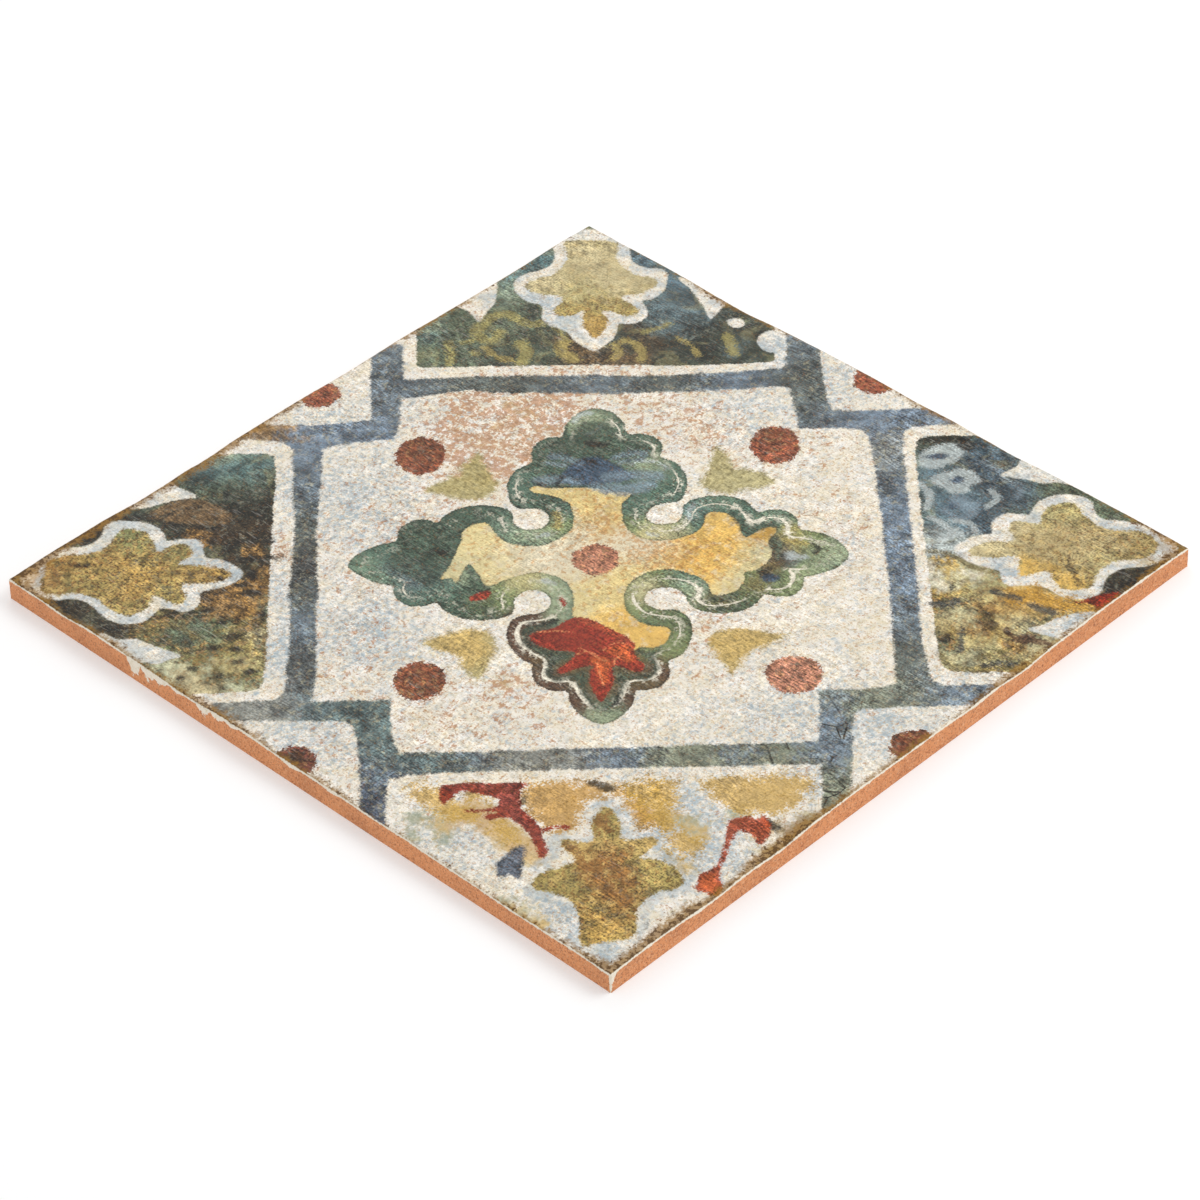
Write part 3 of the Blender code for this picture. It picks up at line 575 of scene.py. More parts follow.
BAND_TINTS = {
    "sage": (
        (88, 4, 6), (84, -12, 6), (0, 94, 6), (-8, 94, 5), (22, 64, 7), (-26, 20, 7), (-55, -6, 4),
        (-20, -8, 5), (-16, -18, 5), (-18, -27, 6), (94, 4, 6), (36, -18, 6), (0, -92, 6),
    ),
    "sand": ((27, 18, 7), (18, -18, 7)),
    "moss_pale": (
        (36, -14, 4), (-38, 24, 6), (-94, 4, 6), (-86, -5, 6), (48, 40, 7), (68, 24, 6), (75, 28, 6),
        (36, -9, 7),
    ),
    "pine_pale": ((8, 90, 5), (20, 76, 8), (10, 62, 8)),
    "pine": ((0, 80, 12), (-74, 24, 10), (-66, 12, 10), (3, -84, 4)),
    "moss_dark": (
        (-20, 76, 9), (-22, 42, 9), (-8, 62, 10), (-48, 34, 9), (-62, 26, 9), (-56, -24, 8), (-44, -30, 5),
        (59, 22, 5),
    ),
    "moss": (
        (32, 60, 6), (34, 48, 8), (22, 43, 9), (12, 34, 7), (-32, 58, 8), (-34, 46, 8), (-12, 34, 6),
        (-28, 14.6, 4), (-84, 10, 8), (-72, -17, 8), (-60, -12, 6), (40, 22, 5), (44, 33, 7), (58, 32, 7),
    ),
    "fern": (
        (13, 25, 6), (-15, 25, 5), (-39, -18, 6), (30, 22, 6), (84, 15, 7), (58, -10, 4), (80, -11, 6),
        (75, -21, 6), (22, -7, 5), (13, -18, 6), (14, -28, 6), (27, -46, 6), (30, -54, 7), (20, -53, 6),
    ),
    "moss_slate": ((-80, 3, 6), (-72, -6, 8), (76, 3, 5)),
    "fern_dark": (
        (-46, -24, 6), (30, 16, 5), (84, 3, 5), (87, 7, 4), (68, -12, 5), (56, -23, 6), (42, -29, 6),
        (25, -13, 7), (22, -31, 5), (32, -38, 7),
    ),
    "olive_pale": ((-28, -8, 7), (20, 17, 6)),
    "teal": ((37, 33, 6),),
    "olive": ((77, 20, 4), (78, 9, 5)),
    "bark_olive": (
        (71, 10, 5), (46, -24, 5), (16, -73, 6), (-25, -56, 5), (12, -60, 8), (-10, -62, 8), (0, -76, 6),
    ),
    "bark": (
        (71, 2, 5), (66, -7, 4), (25, -66, 7), (12, -83, 6), (-12, -84, 7), (-22, -72, 7), (-32, -56, 8),
        (-35, -42, 8), (-28, -32, 7),
    ),
    "olive_dark": ((68, -3, 4), (62, -15, 5)),
}

FILL_TINTS = {
    "straw_pale": ((-48, 14, 10), (-40, -2, 10), (48, -16, 6), (-8, -22, 8)),
    "sage_pale": ((-56, 2, 7), (63, 5, 6), (54, -7, 6)),
    "cream_warm": ((-26, 4, 12), (-12, 4, 11), (-6, 18, 9), (12, 12, 11), (22, 8, 8)),
    "straw": ((-20, 46, 7), (-2, 40, 12), (24, 0, 6), (14, -4, 8), (2, -14, 9)),
    "ochre_pale": ((2, 27, 9),),
    "amber": ((36, 8, 9), (50, 20, 10), (48, 4, 9), (44, -8, 7), (34, -2, 8), (8, -36, 8), (20, -45, 8)),
    "gold": ((64, 18, 6),),
}

DOT_TINTS = {
    "dot_pale": ((-1, -2, 12), (76, -70, 16)),
    "dot_dark": ((72, 80, 4), (-72, 80, 9), (-70, -70, 8), (117, -112, 9)),
    "dot_red": ((-117, -113, 12),),
}

TREFOIL_TINTS = {
    "trefoil_warm": ((54, -50, 12), (-54, -48, 9)),
    "olive_pale": ((60, 50, 10),),
}

FLEUR_TINTS = {
    "sand": ((0, 212, 12), (-20, 190, 10), (14, 193, 12), (152, 3, 9), (167, 17, 7)),
    "ochre": ((2, 160, 8), (-186, 8, 7), (-148, 0, 5), (-178, -4, 4), (178, -10, 3), (-4, -210, 7)),
    "olive": (
        (-2, 172, 6), (12, 172, 6), (-12, 174, 6), (-204, 9, 5), (-163, 8, 4), (-180, -19, 6),
        (-168, -11, 6), (-200, -4, 8), (0, -150, 7), (-17, -182, 8), (18, -182, 8),
    ),
    "olive_pale": ((-8, 185, 8), (184, 26, 7), (199, -5, 6)),
    "ochre_dark": ((-205, 4, 12), (-158, 1, 8), (-184, -10, 8), (-196, 12, 6), (0, -200, 8)),
    "fern": ((-190, 22, 8), (-208, -4, 6), (-168, 15, 5), (-176, -14, 5)),
    "olive_dark": ((-193, 3, 5), (-170, 13, 7)),
    "rust_brown": ((-216, 2, 8), (0, -174, 7), (0, -184, 7), (6, -196, 5)),
    "fleur_beige": ((175, 5, 8), (190, 10, 9), (206, 5, 10), (190, -4, 8)),
    "olive_brown": ((216, 2, 8),),
    "amber": ((169, -9, 5), (185, -20, 5)),
    "ochre_pale": ((14, -165, 6), (-8, -167, 6)),
}

PANEL_TINTS = {
    "panel_teal": (
        (-150, 70, 9), (-160, 66, 6), (-142, 66, 8), (-136, 74, 6), (-28, 205, 7), (-21, 212, 6),
        (-33, 198, 6), (-70, 155, 5),
    ),
    "mist_green": (
        (-144, 77, 5), (-134, 78, 4), (-152, 76, 4), (-73, 160, 5), (-37, 186, 6), (-40, 190, 5),
        (-68, 168, 4), (130, 62, 3),
    ),
    "panel_green": (
        (-150, 60, 7), (-138, 60, 8), (-156, 56, 5), (-160, -30, 7), (-146, -30, 6), (-165, -38, 7),
        (-156, -40, 6), (184, 42, 6), (192, 40, 6), (204, 26, 8), (211, 22, 6), (178, 30, 5),
        (-60, 150, 9), (-70, 145, 6), (-40, 150, 8), (-30, 160, 8), (-62, 165, 6), (-36, 172, 7),
        (-55, 138, 6),
    ),
    "panel_dark": (
        (-162, 62, 5), (-140, 53, 7), (-154, 51, 5), (-176, 56, 5), (-187, 39, 5), (-134, 54, 5),
        (134, 76, 5), (144, 76, 4), (-26, 170, 5), (-20, 155, 6), (-45, 140, 7), (-32, 140, 5),
        (14, 155, 8), (44, 146, 10), (46, 160, 7), (62, 158, 7), (70, 150, 6), (30, 140, 8), (50, 136, 8),
        (60, 170, 5), (66, 138, 6),
    ),
    "black_brown": (
        (-150, 8, 6), (-138, 2, 5), (-150, 27, 6), (-132, 24, 5), (-140, 45, 9), (-134, 40, 7),
        (-143, 37, 7), (-170, 31, 6), (-160, 31, 5), (-150, 31, 4), (-135, 34, 5), (-181, 36, 4),
        (-200, 24, 6), (-147, 17, 4), (-141, 21, 4), (-134, 20, 4), (-141, 9, 4), (-134, 8, 4),
        (-188, -34, 5),
    ),
    "panel_brown": (
        (-168, 42, 6), (-158, 40, 6), (-152, 38, 4), (-150, 27, 5), (-140, 28, 5), (-133, 28, 4),
        (-146, 6, 5), (-150, -9, 5), (-156, -12, 5), (-155, 24, 5), (-4, 138, 6), (8, 136, 6),
        (18, 138, 6), (24, 146, 6), (-10, 150, 5), (18, 158, 5),
    ),
    "panel_tan": (
        (-160, 26, 4), (-137, 15, 3), (-133, -2, 4), (-145, -12, 5), (-140, -22, 5), (-150, -22, 5),
        (-135, -8, 4), (150, -30, 5), (160, -34, 5), (144, -46, 4), (158, -57, 4), (-160, 20, 3),
    ),
    "umber": (
        (-137, 3, 4), (-186, -31, 5), (-194, -34, 6), (-204, -20, 6), (-212, -14, 5), (-200, 30, 6),
        (206, -20, 8), (212, -15, 6), (200, -26, 5), (222, -10, 4),
    ),
    "panel_blue": (
        (158, 68, 6), (154, 70, 4), (162, 54, 4), (146, 35, 8), (152, 24, 6), (138, 30, 5), (150, 14, 4),
        (146, 24, 5), (136, 52, 5), (136, 62, 4), (38, 192, 5), (24, 207, 6), (20, 212, 5), (34, 192, 5),
    ),
    "panel_steel": (
        (133, 46, 6), (135, 36, 5), (135, 20, 6), (176, 42, 6), (30, 168, 8), (40, 172, 7), (28, 180, 6),
        (38, 184, 6), (46, 168, 6), (36, 158, 7), (60, 142, 4),
    ),
    "panel_night": (
        (160, 62, 9), (152, 58, 7), (158, 48, 7), (164, 40, 8), (170, 34, 6), (154, 18, 5), (157, 27, 6),
        (166, 60, 6),
    ),
    "mist": ((139, 13, 5), (132, 6, 5), (144, 11, 4)),
    "chalk": ((134, -17, 3), (146, -14, 3), (131, -10, 3)),
    "sage_pale": (
        (138, -39, 5), (163, -45, 4), (137, -65, 4), (152, -56, 4), (145, -4, 4), (134, -17, 4),
        (149, -15, 5), (131, -11, 4), (141, -15, 4),
    ),
    "moss_pale": ((-150, -38, 4), (-143, -50, 3), (-163, -33, 4), (-149, -62, 3)),
    "fern": ((-158, -52, 4), (-137, -62, 4), (-172, -44, 4), (-152, -33, 4)),
    "sand_gold": (
        (136, -4, 3), (141, -10, 3), (140, -21, 3), (133, -25, 3), (137, -48, 3), (153, -51, 4),
        (148, -68, 3),
    ),
    "olive_pale": (
        (140, -17, 4), (148, -25, 5), (156, -20, 4), (145, -52, 5), (152, -63, 6), (134, -66, 4),
        (165, -66, 5), (-136, -53, 4),
    ),
    "olive_dark": (
        (-170, -30, 6), (-160, -20, 5), (-178, -34, 6), (-150, -45, 5), (-138, -31, 5), (-164, -46, 4),
        (-150, -64, 5), (-172, -24, 4), (134, -30, 5), (151, -38, 3), (134, -53, 3), (140, -58, 4),
        (136, -71, 4), (150, -71, 4),
    ),
    "olive": ((-145, -42, 5), (-137, -46, 5), (-140, -60, 5), (-158, -48, 4), (-143, -52, 5)),
    "sand": ((-135, -38, 4), (-160, -62, 5), (-155, -69, 5), (172, -62, 6), (-141, -57, 3)),
    "mist_olive": (
        (-166, -56, 5), (-140, -68, 5), (-150, -56, 4), (-165, -64, 4), (137, -66, 5), (144, -63, 4),
    ),
    "ochre_pale": ((168, -26, 7), (180, -31, 7), (163, -34, 5), (190, -35, 5)),
    "straw": ((134, -43, 5), (161, -42, 4), (158, -48, 4), (146, -57, 4)),
}

STAIN_TINTS = {name: [place[:3] for place in places] for name, places in STAINS.items()}

# Each layer's own paint, how far its tints speckle and how far their borders roll, in
# millimetres, and its other paints; their order is the order of the random draws
TINTS = {
    "strap_tint": ("slate", 2.5, 1.2, STRAP_TINTS),
    "band_tint": ("moss", 1.1, 0.4, BAND_TINTS),
    "dot_tint": ("dot", 0.0, 0.0, DOT_TINTS),
    "spot_tint": ("trefoil", 2.0, 0.6, TREFOIL_TINTS),
    "fill_tint": ("straw", 1.2, 0.6, FILL_TINTS),
    "fleur_tint": ("olive", 2.2, 1.0, FLEUR_TINTS),
    "panel_tint": ("panel_green", 1.6, 0.9, PANEL_TINTS),
    "stain_tint": ("sand", 2.5, 1.0, STAIN_TINTS),
}

# Paints that a user may change, by name, with their usual 0 to 255 values
PAINTS = {
    "cream": (234, 224, 203), "tan": (192, 150, 98), "trefoil": (174, 160, 102),
    "trefoil_warm": (206, 170, 88), "dot_pale": (180, 122, 96), "dot_dark": (106, 50, 14),
    "dot_red": (84, 30, 12), "fleur_beige": (180, 162, 118), "fill_speck": (188, 132, 66),
    "lip": (240, 232, 214), "line_white": (236, 228, 208), "worn_light": (150, 150, 132),
    "chalk": (240, 235, 226), "sky": (160, 176, 184), "rust": (176, 116, 64), "slate": (98, 112, 122),
    "strap_dark": (70, 78, 72), "strap_blue": (108, 126, 144), "strap_teal": (80, 100, 98),
    "strap_night": (62, 74, 92), "strap_grey": (134, 134, 124), "strap_moss": (122, 126, 102),
    "ink": (34, 32, 26), "ink_soft": (66, 70, 68), "moss": (74, 96, 82), "moss_dark": (60, 76, 62),
    "moss_pale": (100, 120, 100), "moss_slate": (84, 96, 100), "teal": (104, 130, 126),
    "pine": (62, 78, 64), "pine_pale": (78, 94, 78), "sage": (142, 152, 122), "sage_pale": (196, 190, 150),
    "fern": (118, 128, 84), "fern_dark": (86, 96, 62), "bark": (80, 50, 36), "bark_olive": (90, 72, 44),
    "brick": (144, 48, 32), "orange": (206, 104, 52), "vein": (222, 140, 92), "straw": (218, 196, 134),
    "straw_pale": (222, 206, 152), "cream_warm": (220, 210, 184), "amber": (224, 180, 92),
    "gold": (192, 144, 54), "sand_gold": (200, 162, 78), "fern_pale": (150, 140, 84),
    "leaf_brown": (116, 92, 62), "maroon": (132, 38, 18), "russet": (156, 66, 34),
    "steel_pale": (136, 152, 162), "olive_brown": (156, 136, 86), "navy": (60, 76, 94),
    "cobalt": (120, 138, 148), "ochre": (196, 158, 84), "ochre_pale": (208, 176, 108),
    "ochre_dark": (158, 124, 66), "olive": (168, 150, 88), "olive_pale": (182, 172, 120),
    "olive_dark": (118, 104, 60), "sand": (204, 190, 148), "rust_brown": (142, 96, 48),
    "dot": (140, 68, 38), "mist": (184, 192, 190), "mist_green": (132, 146, 126),
    "mist_olive": (184, 184, 152), "panel_green": (88, 98, 78), "panel_teal": (82, 110, 112),
    "panel_dark": (40, 45, 40), "panel_brown": (78, 58, 38), "panel_tan": (164, 120, 58),
    "panel_blue": (84, 106, 118), "panel_steel": (88, 106, 112), "panel_night": (58, 72, 84),
    "black_brown": (30, 26, 20), "umber": (50, 36, 20), "grime_light": (152, 110, 38),
    "grime_dark": (72, 44, 6), "clay": (224, 150, 98), "clay_dark": (150, 88, 56),
    "clay_light": (238, 186, 144),
}


class TileSizes(PropertyGroup):
    """Sizes of the slab and of its back, in metres."""

    face_cells: IntProperty(
        name="Face cells",
        description="Cells along one side of the face",
        default=282,
        min=160,
        max=300,
    )
    side_rows: IntProperty(
        name="Side rows", description="Rows of faces down each side", default=8, min=3, max=12
    )
    edge_rounding: FloatProperty(
        name="Edge rounding", description="Radius of the upper edge", default=0.9 * MM, unit="LENGTH"
    )
    foot_rounding: FloatProperty(
        name="Foot rounding", description="Radius of the lower edge", default=0.35 * MM, unit="LENGTH"
    )
    side_roughness: FloatProperty(
        name="Side roughness",
        description="How far the pressed sides wander",
        default=0.12 * MM,
        unit="LENGTH",
    )
    back_rim: FloatProperty(
        name="Back rim", description="Plain rim of the back", default=14.0 * MM, unit="LENGTH"
    )
    rib_width: FloatProperty(
        name="Rib width", description="Width of the ribs between pockets", default=4.0 * MM, unit="LENGTH"
    )
    pocket_depth: FloatProperty(
        name="Pocket depth", description="Depth of the keying pockets", default=0.7 * MM, unit="LENGTH"
    )
    pocket_draft: FloatProperty(
        name="Pocket draft", description="Lean of the pocket walls", default=0.5 * MM, unit="LENGTH"
    )
    pocket_rows: IntProperty(name="Pocket rows", description="Pockets along Y", default=12, min=1)
    pocket_columns: IntProperty(name="Pocket columns", description="Pockets along X", default=3, min=1)


def paint_property(name):
    """The colour property of one paint."""
    words = name.replace("_", " ")
    return FloatVectorProperty(
        name=words.capitalize(),
        description=f"Colour of the {words} paint",
        subtype="COLOR",
        size=3,
        min=0.0,
        max=1.0,
        default=paint(*PAINTS[name]),
    )


class TilePaints(PropertyGroup):
    """The paints of the decoration, and the clay under them."""

    __annotations__ = {name: paint_property(name) for name in PAINTS}


class StudioSettings(PropertyGroup):
    """The camera's place, the lamps and the floor."""

    azimuth: FloatProperty(
        name="Azimuth", description="Turn of the camera", default=math.radians(-45.057), subtype="ANGLE"
    )
    elevation: FloatProperty(
        name="Elevation", description="Height angle", default=math.radians(39.383), subtype="ANGLE"
    )
    roll: FloatProperty(
        name="Roll", description="Tilt of the picture", default=math.radians(-1.528), subtype="ANGLE"
    )
    distance: FloatProperty(
        name="Distance", description="From the camera to its target", default=1.857, unit="LENGTH"
    )
    lens: FloatProperty(
        name="Lens", description="Focal length on a 36 mm sensor", default=141.8, unit="CAMERA"
    )
    key_power: FloatProperty(
        name="Key light", description="Power of the soft key light", default=22.0, unit="POWER"
    )
    haze_power: FloatProperty(
        name="Haze light",
        description="Power of the light that the glaze mirrors",
        default=6.0,
        unit="POWER",
    )
    sky_strength: FloatProperty(
        name="Surroundings", description="Strength of the white surroundings", default=0.72
    )
    floor: FloatVectorProperty(
        name="Floor", description="Colour of the floor", subtype="COLOR", size=3, default=(0.72, 0.72, 0.72)
    )
    floor_lift: FloatProperty(
        name="Floor lift", description="Light that the backdrop lends the floor", default=0.3
    )


# How the slab's mesh is made: the lengths are in metres
RIM_INSET = 1.2 * MM
SAME_PLACE = 0.001 * MM
FLAT = 0.01 * MM
ABOVE_FACE = 1.0
SMOOTHING_PASSES = 12
ROUNDED_TURN = math.radians(60)
SHARP_TURN = math.radians(50)
RIM_STEPS, FOOT_STEPS = 3, 2
FACE_LEVEL = 0.6

# How the pressed sides wander: the scale of the slow and of the fast noise and how much each one
# counts, how far the sides stay inside their size, and the strip above the foot that stays straight
SLOW_WANDER, SLOW_SHARE = 120, 0.9
FAST_WANDER, FAST_SHARE = 620, 0.7
FAST_SHIFT = Vector((5.0, 2.0, 9.0))
WANDER_INWARD = 0.6
STRAIGHT_FOOT = 0.5 * MM


def height_finder():
    """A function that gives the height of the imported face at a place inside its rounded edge."""
    skin = bmesh.new()
    skin.from_mesh(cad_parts[NODE].data)
    bmesh.ops.remove_doubles(skin, verts=skin.verts, dist=SAME_PLACE)
    tree = BVHTree.FromBMesh(skin)
    skin.free()
    inner = HALF - RIM_INSET

    def height(x, y):
        above = Vector((min(inner, max(-inner, x)), min(inner, max(-inner, y)), ABOVE_FACE))
        return tree.ray_cast(above, Vector((0.0, 0.0, -1.0)))[0].z

    return height


def make_face(slab, sizes):
    """The face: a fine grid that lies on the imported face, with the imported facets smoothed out."""
    cells = sizes.face_cells
    bmesh.ops.create_grid(slab, x_segments=cells, y_segments=cells, size=HALF)
    height = height_finder()
    for vert in slab.verts:
        vert.co.z = height(vert.co.x, vert.co.y)
    for _ in range(SMOOTHING_PASSES):
        bmesh.ops.smooth_vert(
            slab, verts=slab.verts, factor=0.5, use_axis_x=False, use_axis_y=False, use_axis_z=True
        )


def make_sides(slab, sizes):
    """The four sides, as rows of faces that go down from the face's rim to the foot."""
    rows = sizes.side_rows
    for row in range(rows):
        rim = [edge for edge in slab.edges if edge.is_boundary]
        grown = bmesh.ops.extrude_edge_only(slab, edges=rim)["geom"]
        for item in grown:
            if isinstance(item, bmesh.types.BMVert):
                item.co.z *= (rows - row - 1) / (rows - row)


def back_faces(slab):
    """The faces of the flat back."""
    return [face for face in slab.faces if all(vert.co.z < FLAT for vert in face.verts)]


def cut_back(slab, places, across):
    """Cuts the flat back along lines at the places given, across one axis."""
    for place in places:
        back = back_faces(slab)
        parts = set(back)
        for face in back:
            parts.update(face.edges)
            parts.update(face.verts)
        bmesh.ops.bisect_plane(
            slab, geom=list(parts), dist=SAME_PLACE, plane_co=across * place, plane_no=across
        )


def pocket_lines(count, sizes):
    """Where the walls of a row of pockets stand, as pairs of places along one axis."""
    field = 2 * (HALF - sizes.back_rim)
    width = (field - (count - 1) * sizes.rib_width) / count
    starts = [-field / 2 + index * (width + sizes.rib_width) for index in range(count)]
    return [(start, start + width) for start in starts]


def make_back(slab, sizes):
    """The flat back with its keying pockets."""
    foot = [edge for edge in slab.edges if edge.is_boundary]
    bmesh.ops.holes_fill(slab, edges=foot, sides=0)
    columns = pocket_lines(sizes.pocket_columns, sizes)
    rows = pocket_lines(sizes.pocket_rows, sizes)
    cut_back(slab, [place for pair in columns for place in pair], Vector((1.0, 0.0, 0.0)))
    cut_back(slab, [place for pair in rows for place in pair], Vector((0.0, 1.0, 0.0)))
    bmesh.ops.recalc_face_normals(slab, faces=slab.faces)
    pockets = []
    for face in back_faces(slab):
        centre = face.calc_center_median()
        in_column = any(start < centre.x < end for start, end in columns)
        in_row = any(start < centre.y < end for start, end in rows)
        if in_column and in_row:
            pockets.append(face)
    bmesh.ops.inset_individual(
        slab, faces=pockets, thickness=sizes.pocket_draft, depth=-sizes.pocket_depth
    )


def round_edges(slab, sizes):
    """Rounds the rim, the four upright corners and the foot."""
    upper, foot = [], []
    for edge in slab.edges:
        outer = all(max(abs(vert.co.x), abs(vert.co.y)) > HALF - MM for vert in edge.verts)
        if not outer or edge.calc_face_angle(0.0) < ROUNDED_TURN:
            continue
        if max(vert.co.z for vert in edge.verts) < FLAT:
            foot.append(edge)
        else:
            upper.append(edge)
    rounded = ((upper, sizes.edge_rounding, RIM_STEPS), (foot, sizes.foot_rounding, FOOT_STEPS))
    for edges, radius, steps in rounded:
        bmesh.ops.bevel(
            slab,
            geom=[edge for edge in edges if edge.is_valid],
            offset=radius,
            segments=steps,
            profile=0.5,
            affect="EDGES",
            material=-1,
        )


def roughen_sides(slab, sizes):
    """Lets the pressed sides and the rim wander a little, as the sanded clay does."""
    slab.normal_update()
    for vert in slab.verts:
        inward = HALF - max(abs(vert.co.x), abs(vert.co.y))
        if inward > sizes.edge_rounding or vert.co.z < STRAIGHT_FOOT:
            continue
        slow = noise.noise(vert.co * SLOW_WANDER)
        fast = noise.noise(vert.co * FAST_WANDER + FAST_SHIFT)
        wander = SLOW_SHARE * slow + FAST_SHARE * fast - WANDER_INWARD
        vert.co += vert.normal * sizes.side_roughness * wander


def make_slab(sizes):
    """The whole slab as one closed mesh, with glaze on its face and clay on the rest."""
    slab = bmesh.new()
    make_face(slab, sizes)
    make_sides(slab, sizes)
    make_back(slab, sizes)
    round_edges(slab, sizes)
    roughen_sides(slab, sizes)
    for face in slab.faces:
        face.smooth = True
        face.material_index = 0 if face.normal.z > FACE_LEVEL else 1
    mesh = bpy.data.meshes.new("glazed_tile")
    slab.to_mesh(mesh)
    slab.free()
    mesh.set_sharp_from_angle(angle=SHARP_TURN)
    return mesh


def pairs(numbers):
    """Rows of two numbers."""
    return np.reshape(numbers, (-1, 2)).astype(float)


def curve_through(points, closed, steps=5):
    """Points along a smooth curve through the points given."""
    knots = pairs(points)
    if closed:
        before, after, beyond = (np.roll(knots, shift, axis=0) for shift in (1, -1, -2))
    else:
        before = np.vstack((knots[:1], knots[:-2]))
        after = knots[1:]
        beyond = np.vstack((knots[2:], knots[-1:]))
        knots = knots[:-1]
    bits = []
    for step in range(steps):
        t = step / steps
        slope = after - before
        bend = 2 * before - 5 * knots + 4 * after - beyond
        turn = 3 * knots - before - 3 * after + beyond
        bits.append(0.5 * (2 * knots + slope * t + bend * t**2 + turn * t**3))
    curve = np.stack(bits, axis=1).reshape(-1, 2)
    return curve if closed else np.vstack((curve, after[-1:]))


# How a tint wanders: the strength of one place against the layer's own paint, and how many slow
# waves move its borders, with the shortest and the longest of them in millimetres
TINT_PULL = 7.0
WAVES = 7
WAVE_LENGTHS = (6.0, 22.0)

# The most that overlapping washes add up to, and the gap in millimetres that the finer brushwork
# leaves beside a halo
WASH_LIMIT = 1.4
HALO_GAP = 0.2


class Drawing:
    """What is painted on the face, kept as one number for each vertex and each paint layer.

    A layer's number is how far the vertex lies inside what the layer covers, in millimetres.
    """

    def __init__(self, mesh):
        places = np.empty(len(mesh.vertices) * 3, np.float32)
        mesh.vertices.foreach_get("co", places)
        places = places.reshape(-1, 3).astype(float) / MM
        self.x, self.y, self.z = places.T
        self.across = (self.x - self.y) / math.sqrt(2)
        self.away = (self.x + self.y) / math.sqrt(2) + READING_LIFT
        self.layers = {}
        self.tints = {}
        self.chance = np.random.default_rng(CHANCE_SEED)

    def layer(self, name):
        """The layer's numbers, far outside everything at first."""
        if name not in self.layers:
            self.layers[name] = np.full(len(self.x), -REACH)
        return self.layers[name]

    def near(self, line, margin):
        """Which vertices lie near a line."""
        low, high = line.min(axis=0) - margin, line.max(axis=0) + margin
        inside = (self.across > low[0]) & (self.across < high[0])
        return np.flatnonzero(inside & (self.away > low[1]) & (self.away < high[1]))

    def distances(self, line, closed):
        """The vertices near a line, their distance to it, and which of them it goes round."""
        chosen = self.near(line, REACH)
        a, b = self.across[chosen], self.away[chosen]
        nearest = np.full(len(chosen), REACH**2)
        round_it = np.zeros(len(chosen), bool)
        ends = np.roll(line, -1, axis=0) if closed else line[1:]
        for (a0, b0), (a1, b1) in zip(line, ends):
            da, db = a1 - a0, b1 - b0
            length = max(da * da + db * db, 1e-9)
            share = np.clip(((a - a0) * da + (b - b0) * db) / length, 0, 1)
            gap = (a - a0 - share * da) ** 2 + (b - b0 - share * db) ** 2
            np.minimum(nearest, gap, out=nearest)
            if closed and b0 != b1:
                crosses = (b0 > b) != (b1 > b)
                round_it ^= crosses & (a < a0 + (b - b0) * da / db)
        return chosen, np.sqrt(nearest), round_it

    def join(self, name, chosen, depth):
        """Adds a shape to a layer: each vertex keeps its greatest depth."""
        layer = self.layer(name)
        layer[chosen] = np.maximum(layer[chosen], depth)

    def fill(self, name, outlines, smooth=True):
        """Fills closed outlines."""
        for outline in outlines:
            line = curve_through(outline, True) if smooth else pairs(outline)
            chosen, gap, inside = self.distances(line, True)
            self.join(name, chosen, np.where(inside, gap, -gap))

    def stroke(self, name, path, width):
        """Paints one brush stroke."""
        chosen, gap, _ = self.distances(curve_through(path, False), False)
        self.join(name, chosen, width / 2 - gap)

    def spots(self, name, spots):
        """Paints round or oval spots: their place and their two radii."""
        for a, b, wide, high in spots:
            size = math.sqrt(wide * high)
            reach = np.hypot((self.across - a) / wide, (self.away - b) / high)
            chosen = np.flatnonzero(reach < 1 + REACH / size)
            self.join(name, chosen, (1 - reach[chosen]) * size)

    def wash(self, name, clouds):
        """A soft wash, from 0 to about 1."""
        wash = np.zeros(len(self.x))
        for a, b, size, strength in clouds:
            gap = (self.across - a) ** 2 + (self.away - b) ** 2
            wash += strength * np.exp(-gap / size**2)
        self.layers[name] = np.minimum(wash, WASH_LIMIT)

    def shaken(self, along, speckle, roll):
        """Places along one axis, moved alone by about the speckle and together by the roll."""
        moved = along + self.chance.normal(0.0, speckle, len(along))
        for _ in range(WAVES):
            turn, phase = self.chance.uniform(0.0, math.tau, 2)
            wave = math.tau / self.chance.uniform(*WAVE_LENGTHS)
            place = self.across * math.cos(turn) + self.away * math.sin(turn)
            moved += roll * np.sin(place * wave + phase)
        return moved

    def tint(self, name, base, tints, paints, speckle, roll):
        """A layer's own colour, which changes from place to place in a fine speckle."""
        colour = np.tile(np.array(getattr(paints, base)), (len(self.x), 1))
        weight = np.ones(len(self.x))
        across = self.shaken(self.across, speckle, roll)
        away = self.shaken(self.away, speckle, roll)
        for paint_name, places in tints.items():
            for a, b, size in places:
                pull = TINT_PULL * np.exp(-((across - a) ** 2 + (away - b) ** 2) / size**2)
                colour += pull[:, None] * np.array(getattr(paints, paint_name))
                weight += pull
        self.tints[name] = colour / weight[:, None]

    def store(self, mesh):
        """Writes the layers and the tints to the mesh as attributes."""
        for name, layer in self.layers.items():
            held = mesh.attributes.new(name, "FLOAT", "POINT")
            held.data.foreach_set("value", layer.astype(np.float32))
        for name, tint in self.tints.items():
            held = mesh.attributes.new(name, "FLOAT_COLOR", "POINT")
            rgba = np.hstack((tint, np.ones((len(tint), 1))))
            held.data.foreach_set("color", rgba.astype(np.float32).ravel())


